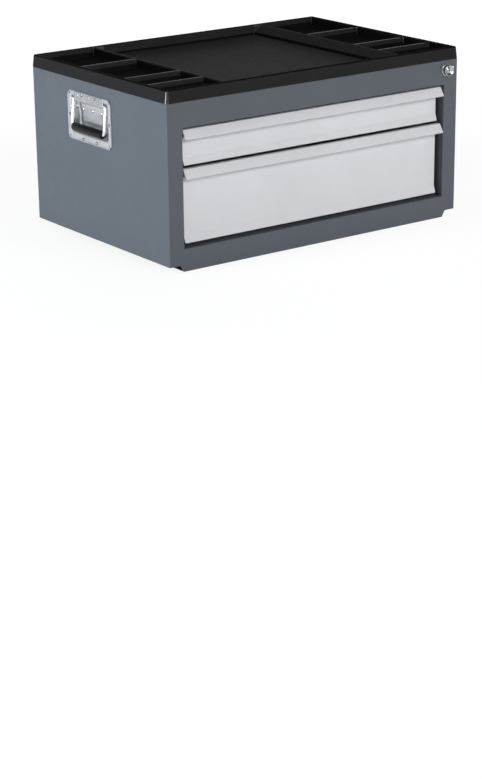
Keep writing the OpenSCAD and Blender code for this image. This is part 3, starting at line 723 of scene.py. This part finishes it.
def tray_lines(compartments, axis, inner, border):
    """Sorted grid lines along one axis, without near doubles."""
    lines = [-border, border]
    for step in TRAY_RIM_LINES:
        lines += [-(inner + step * MM), inner + step * MM]
    for room in compartments:
        low, high = room["x" if axis == 0 else "y"]
        run = room["run"][axis]
        lines += wall_lines(low, run, -1) + wall_lines(high, run, 1)
        if room["middle"] and axis == 0:
            for share in TRAY_STEP_LINES:
                lines += [low - share * TRAY_STEP_RUN, high + share * TRAY_STEP_RUN]
        if room["middle"]:
            for share in TRAY_GROOVE_LINES:
                lines += [low + share * TRAY_GROOVE_W, high - share * TRAY_GROOVE_W]
    made = []
    for line in sorted(lines):
        if not made or line - made[-1] > TRAY_LINE_GAP:
            made.append(line)
    return made


def tray_ring(half_x, half_y, inset, z, xs, ys):
    """A ring round the tray that follows the grid's border, with round corners."""
    radius = max(TRAY_CORNER_R - inset, TRAY_LEAST_R)
    right, back = half_x - inset, half_y - inset
    ring = []
    sides = (
        [(x, -back) for x in xs[1:-1]], [(right, y) for y in ys[1:-1]],
        [(x, back) for x in reversed(xs[1:-1])], [(-right, y) for y in reversed(ys[1:-1])],
    )
    corners = ((-1, -1, 180), (1, -1, 270), (1, 1, 0), (-1, 1, 90))
    for (sign_x, sign_y, start), side in zip(corners, sides):
        centre = (sign_x * (right - radius), sign_y * (back - radius))
        ring += arc(centre, radius, start, start + 90, TRAY_CORNER_STEPS)
        ring += side
    return [(x, y, z) for x, y in ring]


def tray_shell():
    """The moulded tray: compartments with rounded ribs, soft rim and a drafted skirt."""
    low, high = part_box("top_tray")
    half_x, half_y, rim_z, skirt_z = high.x, high.y, high.z, low.z
    inner_x, inner_y = half_x - TRAY_RIM_W, half_y - TRAY_RIM_W
    compartments = tray_compartments()
    xs = tray_lines(compartments, 0, inner_x, half_x - TRAY_BORDER)
    ys = tray_lines(compartments, 1, inner_y, half_y - TRAY_BORDER)
    points = [(x, y, tray_height(x, y, compartments, inner_x, inner_y, rim_z)) for y in ys for x in xs]
    nx, ny = len(xs), len(ys)
    faces = []
    for j in range(ny - 1):
        for i in range(nx - 1):
            a = j * nx + i
            faces.append((a, a + 1, a + 1 + nx, a + nx))

    # rings from the rim's flat over the rounded edge, down the skirt and back in under it
    edge_centre = (TRAY_SKIRT_DRAFT + TRAY_EDGE_R, rim_z - TRAY_EDGE_R)
    profile = arc(edge_centre, TRAY_EDGE_R, 90, 180, TRAY_EDGE_STEPS)
    profile += [(inset, skirt_z + rise) for inset, rise in TRAY_SKIRT_FOOT]
    profile += [(TRAY_SKIRT_T, skirt_z), (TRAY_SKIRT_T, skirt_z + TRAY_SKIRT_LAP)]
    rings = [tray_ring(half_x, half_y, inset, z, xs, ys) for inset, z in profile]
    start = len(points)
    points, faces = join_shells([(points, faces), loft(rings, cap_start=False)])

    # the grid's border meets the first ring, with a fan at each corner
    border_sides = (
        list(range(nx)), [j * nx + nx - 1 for j in range(ny)],
        [(ny - 1) * nx + i for i in reversed(range(nx))], [j * nx for j in reversed(range(ny))],
    )
    count = len(rings[0])
    k = 0
    for side in border_sides:
        for step in range(TRAY_CORNER_STEPS):
            faces.append((side[0], start + k + step, start + k + step + 1))
        k += TRAY_CORNER_STEPS
        for a, b in zip(side, side[1:]):
            faces.append((a, start + k, start + (k + 1) % count, b))
            k += 1
    piece = add_piece(
        "tray_moulding", (points, faces), (tray_grain, tray_rim_and_painted_shade, tray_skirt, tray_gloss_and_painted_highlight, tray_pocket_painted_shade),
        "cabinet", ("top_tray",),
    )
    for face in piece.data.polygons:
        face.material_index = tray_zone(face.center, face.normal, compartments, high)
    even_shading(piece)


# Drawers

def drawer_front(number):
    """Folded sheet front: flared foot, flat panel, fold at the top and the sloping pull lip."""
    node = f"drawer_{number}_front"
    low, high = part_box(node)
    panel_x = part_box(f"drawer_{number}_box")[1].x + PANEL_OVERHANG
    panel_y = high.y
    line = [
        (panel_y - FLARE_OUT, low.z), (panel_y, low.z + FLARE_H), (panel_y, high.z),
        (panel_y - SHEET_T - LIP_FLAT, high.z), (low.y, high.z - LIP_H),
    ]
    middle = filleted(offset_line(line, SHEET_T / 2), FOLD_R)
    back = offset_line(middle, -SHEET_T / 2)
    front = offset_line(middle, SHEET_T / 2)
    relief_z = high.z - LIP_H
    panel = [(panel_x - CORNER_CUT, back[0], front[0])]
    lip = []
    for b, f in zip(back, front):
        if b.x < panel_y - FOLD_R and b.y > relief_z - SHEET_T:
            lip.append((high.x, b, f))
        else:
            panel.append((panel_x, b, f))
    panel[1:2] = [(panel_x, cut_end(back, 0, 1), cut_end(front, 0, 1))]
    lip[-1:] = [
        (high.x, cut_end(back, -1, -2), cut_end(front, -1, -2)),
        (high.x - CORNER_CUT, back[-1], front[-1]),
    ]
    notch = [(half_x - (RELIEF_W if b.y > relief_z else 0), b, f) for half_x, b, f in panel]
    at_relief = next(k for k, (_, b, _) in enumerate(notch) if b.y > relief_z)
    corner = [Vector((back[at_relief - 1].x, relief_z)), Vector((front[at_relief - 1].x, relief_z))]
    notch[at_relief:at_relief] = [(panel_x, *corner), (panel_x - RELIEF_W, *corner)]
    stations = notch + [(notch[-1][0], *lip[0][1:])] + lip
    rings = [sheet_ring(*station) for station in stations]
    finish, rounding = NODE_LOOKS["drawer_paint"]
    piece = add_piece(
        f"drawer_{number}_folded_front", loft(rings), (finish,), f"drawer_{number}", (node,)
    )
    soften(piece, rounding * MM)


def cut_end(line, end, beside):
    """A line's end point moved by the corner's cut towards the point beside it."""
    return line[end] + (line[beside] - line[end]).normalized() * CORNER_CUT


def sheet_ring(half_x, back, front):
    """Four corners of a sheet's section at one place along its line."""
    return [
        (-half_x, front.x, front.y), (half_x, front.x, front.y),
        (half_x, back.x, back.y), (-half_x, back.x, back.y),
    ]


def drawer_mat(number):
    """Ribbed rubber mat."""
    node = f"drawer_{number}_liner"
    low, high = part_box(node)
    ribs = int((high.x - low.x) / MAT_RIB_PITCH)
    pitch = (high.x - low.x) / ribs
    rings = []
    for k in range(ribs):
        for share, drop in MAT_RIB_OUTLINE:
            x = low.x + (k + share) * pitch
            rings.append(mat_ring(x, low, high.z - drop, high.y))
    rings.append(mat_ring(high.x, low, high.z - MAT_RIB_H, high.y))
    add_piece(
        f"drawer_{number}_ribbed_mat", loft(rings), (mat_rubber,), f"drawer_{number}", (node,)
    )


def mat_ring(x, low, top, back):
    """Four corners of the mat's section at one place across it."""
    return [(x, low.y, low.z), (x, back, low.z), (x, back, top), (x, low.y, top)]


# Handles

class HandlePlace:
    """Turns u, v and w in millimetres into places on one side of the chest."""

    def __init__(self, side):
        self.sign = SIDES[side]
        low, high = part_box(f"handle_dish_{side}")
        self.face_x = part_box("side_panel_right")[1].x
        self.y = (low.y + high.y) / 2
        self.z = (low.z + high.z) / 2
        self.half_l = (high.y - low.y) / 2 / MM
        self.half_h = (high.z - low.z) / 2 / MM
        pivot = next(j for j in frame["joints"] if j["name"] == f"handle_{side}_swing")["pos_m"]
        self.pivot_w = (abs(pivot[0]) - self.face_x) / MM
        self.pivot_v = (pivot[2] - self.z) / MM

    def __call__(self, u, v, w):
        return Vector((self.sign * (self.face_x + w * MM), self.y + u * MM, self.z + v * MM))


def plate_ring(half_l, bottom, top, radius, bend=RECESS_BEND, corner_steps=7, side_points=4):
    """Rounded rectangle in u and v whose upright sides each have a point at the recess's bend."""
    ring = []
    corners = ((1, top, 0), (-1, top, 90), (-1, bottom, 180), (1, bottom, 270))
    for sign, edge, start in corners:
        inner_v = edge - radius if edge == top else edge + radius
        ring += arc((sign * (half_l - radius), inner_v), radius, start, start + 90, corner_steps)
        if start in (0, 180):
            reach = (half_l - radius) * (1 if start == 0 else -1)
            for k in range(1, side_points):
                ring.append((reach * (1 - 2 * k / side_points), edge))
        else:
            ring.append((sign * half_l, bend))
    return ring


def recess_depth(v):
    """Depth of the recess's floor at a height."""
    if v <= RECESS_BEND:
        return RECESS_DEPTH
    share = (v - RECESS_BEND) / (RECESS_UP - RECESS_BEND)
    return RECESS_DEPTH + (RECESS_TOP_DEPTH - RECESS_DEPTH) * share


# Finish numbers of the pressing after the satin plate: painted light on the recess's upper slope, and bright
# chrome as painted light on the recess's end walls.
SLOPE_PAINTED_LIGHT, WALLS_PAINTED_LIGHT = 1, 2


def handle_dish(side):
    """Pressed plate: beaded edge, soft lip round the recess, recess with a bend across its floor."""
    place = HandlePlace(side)
    rings = []
    for inset, w in PLATE_EDGE:
        ring = plate_ring(
            place.half_l - inset, -place.half_h + inset, place.half_h - inset, PLATE_CORNER_R - inset
        )
        rings.append([place(u, v, w) for u, v in ring])
    for grow, w in RECESS_EDGE:
        ring = plate_ring(RECESS_L2 + grow, RECESS_DOWN - grow, RECESS_UP + grow, RECESS_CORNER_R + grow)
        rings.append([place(u, v, w) for u, v in ring])
    for share in WALL_SHARES:
        flare = max(0.0, (share - WALL_FLARE_FROM) / (1 - WALL_FLARE_FROM))
        inset = WALL_DRAFT * share + WALL_FLARE * flare
        foot = RECESS_DOWN + RECESS_SLOPE * share + FOOT_FLARE * flare
        ring = plate_ring(RECESS_L2 - inset, foot, RECESS_UP - inset, RECESS_FLOOR_R)
        rings.append([place(u, v, -share * recess_depth(v)) for u, v in ring])
    floor_ring = ring
    for share in FLOOR_SHARES:
        shrunk = [(u * share, RECESS_BEND + (v - RECESS_BEND) * share) for u, v in floor_ring]
        rings.append([place(u, v, -recess_depth(v)) for u, v in shrunk])
    piece = add_piece(
        f"handle_pressing_{side}", loft(rings, cap_start=False), (satin_plate, rubbed_plate, bright_chrome),
        "cabinet", (f"handle_dish_{side}",), sharp_angle=24,
    )
    bend_z = place.z + RECESS_BEND * MM
    for face in piece.data.polygons:
        depth = (place.face_x - abs(face.center.x)) / MM
        # Painted light: the recess's end walls get bright chrome instead of the satin plate.
        if depth > RECESS_LIP and abs(face.normal.y) > WALL_STEEPNESS:
            face.material_index = WALLS_PAINTED_LIGHT
        # Painted light: the upper slope gets the paler finish.
        elif depth > RECESS_TOP_DEPTH and face.center.z > bend_z and abs(face.normal.x) > WALL_STEEPNESS:
            face.material_index = SLOPE_PAINTED_LIGHT
    floor_x = place.face_x - RECESS_DEPTH * MM
    gap = CREASE_GAP * MM
    for edge in piece.data.edges:
        ends = [piece.data.vertices[k].co for k in edge.vertices]
        if all(abs(end.z - bend_z) < gap and abs(abs(end.x) - floor_x) < gap for end in ends):
            edge.use_edge_sharp = True
    shell = piece.modifiers.new("sheet", "SOLIDIFY")
    shell.thickness = SHEET_T
    faces_out = sum(f.normal.x * f.area for f in piece.data.polygons) * SIDES[side] > 0
    shell.offset = -1 if faces_out else 1
    even_shading(piece)


def handle_bridge(side):
    """Hinge cover: flat riveted plate with three round bosses, and the tube for the pivots behind it."""
    place = HandlePlace(side)
    node = f"handle_bridge_{side}"
    low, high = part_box(node)
    half_l = (high.y - low.y) / 2 / MM
    foot, top = ((z - place.z) / MM for z in (low.z, high.z))
    rings = []
    bend = COVER_EDGE * COVER_BEND
    edge = ((0, PLATE_T), (0, COVER_FACE - COVER_EDGE), (bend, COVER_FACE - bend), (COVER_EDGE, COVER_FACE))
    for inset, w in edge:
        ring = plate_ring(
            half_l - inset, foot + inset, top - inset, COVER_CORNER_R - inset, bend=(foot + top) / 2
        )
        rings.append([place(u, v, w) for u, v in ring])
    shells = [loft(rings)]
    boss = dome(BOSS_R, BOSS_H, BOSS_SHAPE)
    for u in spaced(BOSS_COUNT, BOSS_PITCH):
        centre = place(u, BOSS_V, COVER_FACE)
        shells.append(lathe(boss, centre, (SIDES[side], 0, 0), segments=32))
    bore = PIN_R + PIN_CLEARANCE
    tube = in_metres(((bore, -half_l), (TUBE_R, -half_l), (TUBE_R, half_l), (bore, half_l)))
    shells.append(lathe(tube, place(0, place.pivot_v, place.pivot_w), (0, 1, 0), bored=True))
    finishes = (pressed_cover, rivet_steel)
    piece = add_piece(
        f"handle_hinge_cover_{side}", join_shells(shells), finishes, "cabinet", (node,)
    )
    # Painted shadow: the cover's lower edge gets the dark steel, as a dark line along its foot.
    for face in piece.data.polygons[:len(shells[0][1])]:
        if face.center.z < low.z + COVER_EDGE * MM:
            face.material_index = finishes.index(rivet_steel)


def handle_dimples(side):
    """Round dimples pressed into the sloping part of the recess."""
    place = HandlePlace(side)
    rise = (RECESS_DEPTH - RECESS_TOP_DEPTH) / (RECESS_UP - RECESS_BEND)
    axis = Vector((SIDES[side], 0, -rise)).normalized()
    dimple = dome(DIMPLE_R, DIMPLE_H, DIMPLE_SHAPE)
    shells = []
    for u in spaced(DIMPLE_COUNT, DIMPLE_PITCH):
        centre = place(u, DIMPLE_V, -recess_depth(DIMPLE_V))
        shells.append(lathe(dimple, centre, axis, segments=24))
    node = f"handle_dish_{side}"
    # The dimples get bright chrome, brighter than the plate they are pressed into: partly a painted highlight.
    add_piece(f"handle_dimples_{side}", join_shells(shells), (bright_chrome,), "cabinet", (node,))


def handle_grip(side):
    """Soft sleeve with rounded ends."""
    node = f"handle_grip_{side}"
    low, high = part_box(node)
    half_l = (high.y - low.y) / 2 / MM
    radius = (high.z - low.z) / 2 / MM
    half = arc((radius - GRIP_END_R, half_l - GRIP_END_R), GRIP_END_R, 90, 0, GRIP_END_STEPS)
    profile = half + [(r, -along) for r, along in reversed(half)]
    shell = lathe(in_metres(profile), (low + high) / 2, (0, 1, 0))
    add_piece(f"handle_sleeve_{side}", shell, (grip_sleeve,), f"handle_{side}", (node,))


def handle_bail(side):
    """Rod bent into the bail: leaning legs, bends into the grip, and knuckles with pins in the hinge tube."""
    place = HandlePlace(side)
    node = f"handle_bail_{side}"
    low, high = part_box(node)
    leg_u = (high.y - low.y) / 2 / MM - LEG_R
    grip_low, grip_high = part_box(f"handle_grip_{side}")
    grip = (grip_low + grip_high) / 2
    out = (abs(grip.x) - place.face_x) / MM - place.pivot_w
    down = place.pivot_v - (grip.z - place.z) / MM
    length = math.hypot(out, down)
    lean_out, lean_down = out / length, down / length

    bend_u = leg_u - BEND_R
    line = [(leg_u, 0)] + arc((bend_u, length - BEND_R), BEND_R, 0, 90, BEND_STEPS)
    line += [(-u, s) for u, s in reversed(line)]

    rings = []
    for k, (u, s) in enumerate(line):
        before, after = line[max(k - 1, 0)], line[min(k + 1, len(line) - 1)]
        run = Vector((after[0] - before[0], after[1] - before[1])).normalized()
        ring = []
        for side_step, out_step in arc((0, 0), LEG_R, 0, 360, LEG_SEGMENTS)[:-1]:
            along = s + side_step * run.x
            ring.append(place(
                u - side_step * run.y,
                place.pivot_v - along * lean_down + out_step * lean_out,
                place.pivot_w + along * lean_out + out_step * lean_down,
            ))
        rings.append(ring)
    shells = [loft(rings)]
    outer = leg_u + LEG_R
    inner_cut, outer_cut = KNUCKLE_CHAMFERS
    knuckle = in_metres((
        (PIN_R, PIN_IN), (PIN_R, KNUCKLE_IN), (KNUCKLE_R - inner_cut, KNUCKLE_IN),
        (KNUCKLE_R, KNUCKLE_IN + inner_cut), (KNUCKLE_R, outer - outer_cut), (KNUCKLE_R - outer_cut, outer),
    ))
    for sign in (-1, 1):
        shells.append(lathe(knuckle, place(0, place.pivot_v, place.pivot_w), (0, sign, 0), segments=32))
    add_piece(
        f"handle_bent_rod_{side}", join_shells(shells), (bright_chrome,), f"handle_{side}", (node,)
    )


def rivet_places(place):
    """Places of the plate's plain rivets and of those through the hinge cover, as u and v."""
    end, top = place.half_l - RIVET_EDGE, place.half_h - RIVET_EDGE
    third = end / 3
    plain = [(end, top), (-end, top), (end, -top), (-end, -top), (end, 0), (-end, 0)]
    plain += [(third, -top), (-third, -top)]
    return plain, [(third, top), (-third, top)]


def handle_rivets(side):
    """Blind rivets: a low dark flange round a bright button."""
    place = HandlePlace(side)
    node = f"handle_rivets_{side}"
    plain, through = rivet_places(place)
    # The dark flange is a painted shadow round the bright button.
    for name, profile, finish in RIVET_PARTS:
        shells = []
        for group, w in ((plain, PLATE_T), (through, COVER_FACE)):
            for u, v in group:
                shells.append(lathe(in_metres(profile), place(u, v, w), (SIDES[side], 0, 0), segments=24))
        add_piece(f"handle_rivet_{name}_{side}", join_shells(shells), (finish,), "cabinet", (node,))


# Lock

def turned_place(low, high):
    """Middle of a turned node's front, and its radius and length in millimetres."""
    centre = Vector(((low.x + high.x) / 2, low.y, (low.z + high.z) / 2))
    return centre, (high.x - low.x) / 2 / MM, (high.y - low.y) / MM


def lock_head():
    """Turned lock head: rounded rim, chamfer towards the plug, foot ring and plain body behind the sheet."""
    centre, ring_r, rear = turned_place(*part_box("lock_housing"))
    face_r = turned_place(*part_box("lock_plug"))[1] + PIN_CLEARANCE
    bore = PLUG_R + PIN_CLEARANCE
    floor = PLUG_FACE_L + PIN_CLEARANCE
    foot = LOCK_HEAD_L - LOCK_RING_T
    profile = [(face_r, floor)] + [(face_r + out, depth) for out, depth in HEAD_MOUTH]
    profile += [(LOCK_HEAD_R - inset, depth) for inset, depth in HEAD_RIM]
    profile += [
        (LOCK_HEAD_R, foot - LOCK_FOOT_R), (LOCK_HEAD_R + LOCK_FOOT_FILLET, foot),
        (ring_r - LOCK_FOOT_FILLET, foot + LOCK_FOOT_SLOPE),
        (ring_r, foot + LOCK_FOOT_R), (ring_r, LOCK_HEAD_L),
        (LOCK_BODY_R, LOCK_HEAD_L), (LOCK_BODY_R, rear), (bore, rear), (bore, floor),
    ]
    shell = lathe(in_metres(profile), centre, (0, 1, 0), bored=True)
    add_piece("lock_turned_head", shell, (lock_chrome,), "cabinet", ("lock_housing",))


def lock_face():
    """Plug with a dished face, a raised boss in its middle and the keyway through that."""
    centre, face_r, rear = turned_place(*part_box("lock_plug"))
    half_w, half_h = KEYWAY_HALF
    slot = []
    for x, z in arc((0, 0), 1, 0, 360, PLUG_SEGMENTS)[:-1]:
        reach = min(half_w / max(abs(x), LEAST_COSINE), half_h / max(abs(z), LEAST_COSINE))
        slot.append((reach * x, reach * z))
    outlines = [(slot, KEYWAY_FLOOR), (slot, PLUG_BOSS_TOP)]
    circles = list(PLUG_DISH) + [(face_r - inset, depth) for inset, depth in PLUG_RIM]
    circles += [(face_r, PLUG_FACE_L), (PLUG_R, PLUG_FACE_L), (PLUG_R, rear)]
    for radius, depth in circles:
        outlines.append((arc((0, 0), radius, 0, 360, PLUG_SEGMENTS)[:-1], depth))
    rings = []
    for outline, depth in outlines:
        rings.append([centre + Vector((x, depth, z)) * MM for x, z in outline])
    finishes = (lock_chrome, keyway_black)
    dark = finishes.index(keyway_black)
    piece = add_piece("lock_dished_plug", loft(rings), finishes, "lock_core", ("lock_plug",))
    # Painted shade: the keyway's walls and floor are black.
    for face in piece.data.polygons[:PLUG_SEGMENTS]:
        face.material_index = dark
    piece.data.polygons[PLUG_SEGMENTS * (len(rings) - 1)].material_index = dark


# Carried-over CAD nodes

def dress_nodes():
    """Gives every shown CAD node its finish and soft edges."""
    for part in record["subparts"]:
        node = nodes[part["node"]]
        if node.hide_render:
            continue
        finish, rounding = NODE_LOOKS[part["material_slot"]]
        node.data.materials.clear()
        node.data.materials.append(finish)
        soften(node, rounding * MM)


# Stage, light and camera

def white_to_view(tree):
    """An output that is 1 for the rays that show the background."""
    path = tree.nodes.new("ShaderNodeLightPath")
    factor = path.outputs["Is Camera Ray"]
    for name in ("Is Glossy Ray", "Is Transmission Ray"):
        joined = tree.nodes.new("ShaderNodeMath")
        joined.operation = "MAXIMUM"
        tree.links.new(factor, joined.inputs[0])
        tree.links.new(path.outputs[name], joined.inputs[1])
        factor = joined.outputs[0]
    return factor


# Background and floor
AMBIENT = 0.1
SKY_GLOSS = 0.12
HORIZON = (0.04, 0.28)
FLOOR_SIZE = 40
FLOOR_DROP = 0.2 * MM
FLOOR_COLOUR = (0.92, 0.92, 0.92, 1)
FLOOR_ROUGHNESS = 0.8
FLOOR_GLOW = 0.84
FLOOR_WHITE = 1.04
FLOOR_FADE = (0.7, 2.0)


def studio_world():
    """White round the horizon to the camera and in reflections, dim overhead, and a softer white as light."""
    world = bpy.data.worlds.new("studio")
    world.use_nodes = True
    bpy.context.scene.world = world
    tree = world.node_tree
    background = tree.nodes["Background"]
    background.inputs["Color"].default_value = (1, 1, 1, 1)
    direction = tree.nodes.new("ShaderNodeTexCoord")
    parts = tree.nodes.new("ShaderNodeSeparateXYZ")
    tree.links.new(direction.outputs["Generated"], parts.inputs["Vector"])
    shown = mapped(tree, parts.outputs["Z"], 1.0, SKY_GLOSS, *HORIZON)
    strength = mapped(tree, white_to_view(tree), AMBIENT, shown)
    tree.links.new(strength, background.inputs["Strength"])


def studio_floor():
    """Pale floor that keeps the chest's shadow and fades into the white background."""
    mesh = bpy.data.meshes.new("floor")
    half = FLOOR_SIZE / 2
    z = cad_box[0].z - FLOOR_DROP
    corners = [(-half, -half, z), (half, -half, z), (half, half, z), (-half, half, z)]
    mesh.from_pydata(corners, [], [(0, 1, 2, 3)])
    floor = new_object("floor", mesh)
    finish = Finish("pale_floor", Base_Color=FLOOR_COLOUR, Roughness=FLOOR_ROUGHNESS)
    distance = finish.add("ShaderNodeVectorMath")
    distance.operation = "LENGTH"
    finish.link(finish.coords, distance.inputs[0])
    fade = finish.spread(distance.outputs["Value"], FLOOR_GLOW, 1.0, *FLOOR_FADE)
    share = finish.add("ShaderNodeMath")
    share.operation = "MULTIPLY"
    finish.link(white_to_view(finish.tree), share.inputs[0])
    finish.link(fade, share.inputs[1])
    glow = finish.add("ShaderNodeEmission")
    glow.inputs["Strength"].default_value = FLOOR_WHITE
    mix = finish.add("ShaderNodeMixShader")
    finish.link(share.outputs[0], mix.inputs["Fac"])
    finish.link(finish.shader.outputs["BSDF"], mix.inputs[1])
    finish.link(glow.outputs["Emission"], mix.inputs[2])
    finish.link(mix.outputs["Shader"], finish.tree.nodes["Material Output"].inputs["Surface"])
    mesh.materials.append(finish.material)


WHITE = (1.0, 1.0, 1.0)
COOL = (0.87, 0.96, 1.04)
# Place, width and height, watts and colour of each lamp
LAMPS = {
    "left_softbox": ((-2.7, 0.08, 0.2), (0.6, 0.4), 39, COOL),
    "left_high_softbox": ((-2.2, 0.2, 1.5), (0.7, 0.5), 18, COOL),
    "front_softbox": ((0.2, -2.95, 1.42), (1.6, 1.1), 57, WHITE),
    "overhead_softbox": ((0.0, -0.2, 2.6), (1.6, 1.6), 11, WHITE),
    "right_softbox": ((2.7, 0.45, 0.35), (1.3, 0.5), 45, WHITE),
    "back_softbox": ((0.4, 2.8, 0.3), (1.8, 0.4), 36, WHITE),
}


def studio_lamps():
    """Soft boxes aimed at the middle of the chest."""
    target = (cad_box[0] + cad_box[1]) / 2
    for name, (place, size, watts, colour) in LAMPS.items():
        light = bpy.data.lights.new(name, "AREA")
        light.shape = "RECTANGLE"
        light.size, light.size_y = size
        light.energy = watts
        light.color = colour
        box = new_object(name, light)
        box.location = place
        box.rotation_euler = (target - box.location).to_track_quat("-Z", "Y").to_euler()


def photo_camera():
    """The photograph's viewpoint, with the picture's long side upright."""
    yaw, pitch, roll = (math.radians(a) for a in (CAMERA_YAW, CAMERA_PITCH, CAMERA_ROLL))
    ahead = Vector((math.sin(yaw) * math.cos(pitch), math.cos(yaw) * math.cos(pitch), -math.sin(pitch)))
    right = Vector((math.cos(yaw), -math.sin(yaw), 0))
    up = right.cross(ahead)
    turned_right = right * math.cos(roll) + up * math.sin(roll)
    turned_up = up * math.cos(roll) - right * math.sin(roll)
    data = bpy.data.cameras.new("camera")
    data.lens = CAMERA_LENS
    data.sensor_width = CAMERA_SENSOR
    camera = new_object("camera", data)
    turn = Matrix((turned_right, turned_up, -ahead)).transposed().to_4x4()
    camera.matrix_world = Matrix.Translation(CAMERA_PLACE) @ turn
    bpy.context.scene.camera = camera


photo_camera()
tray_shell()
for drawer in (1, 2):
    drawer_front(drawer)
    drawer_mat(drawer)
for side in SIDES:
    handle_dish(side)
    handle_dimples(side)
    handle_bridge(side)
    handle_grip(side)
    handle_bail(side)
    handle_rivets(side)
lock_head()
lock_face()
dress_nodes()
studio_world()
studio_floor()
studio_lamps()
bpy.context.scene.view_settings.view_transform = "Standard"
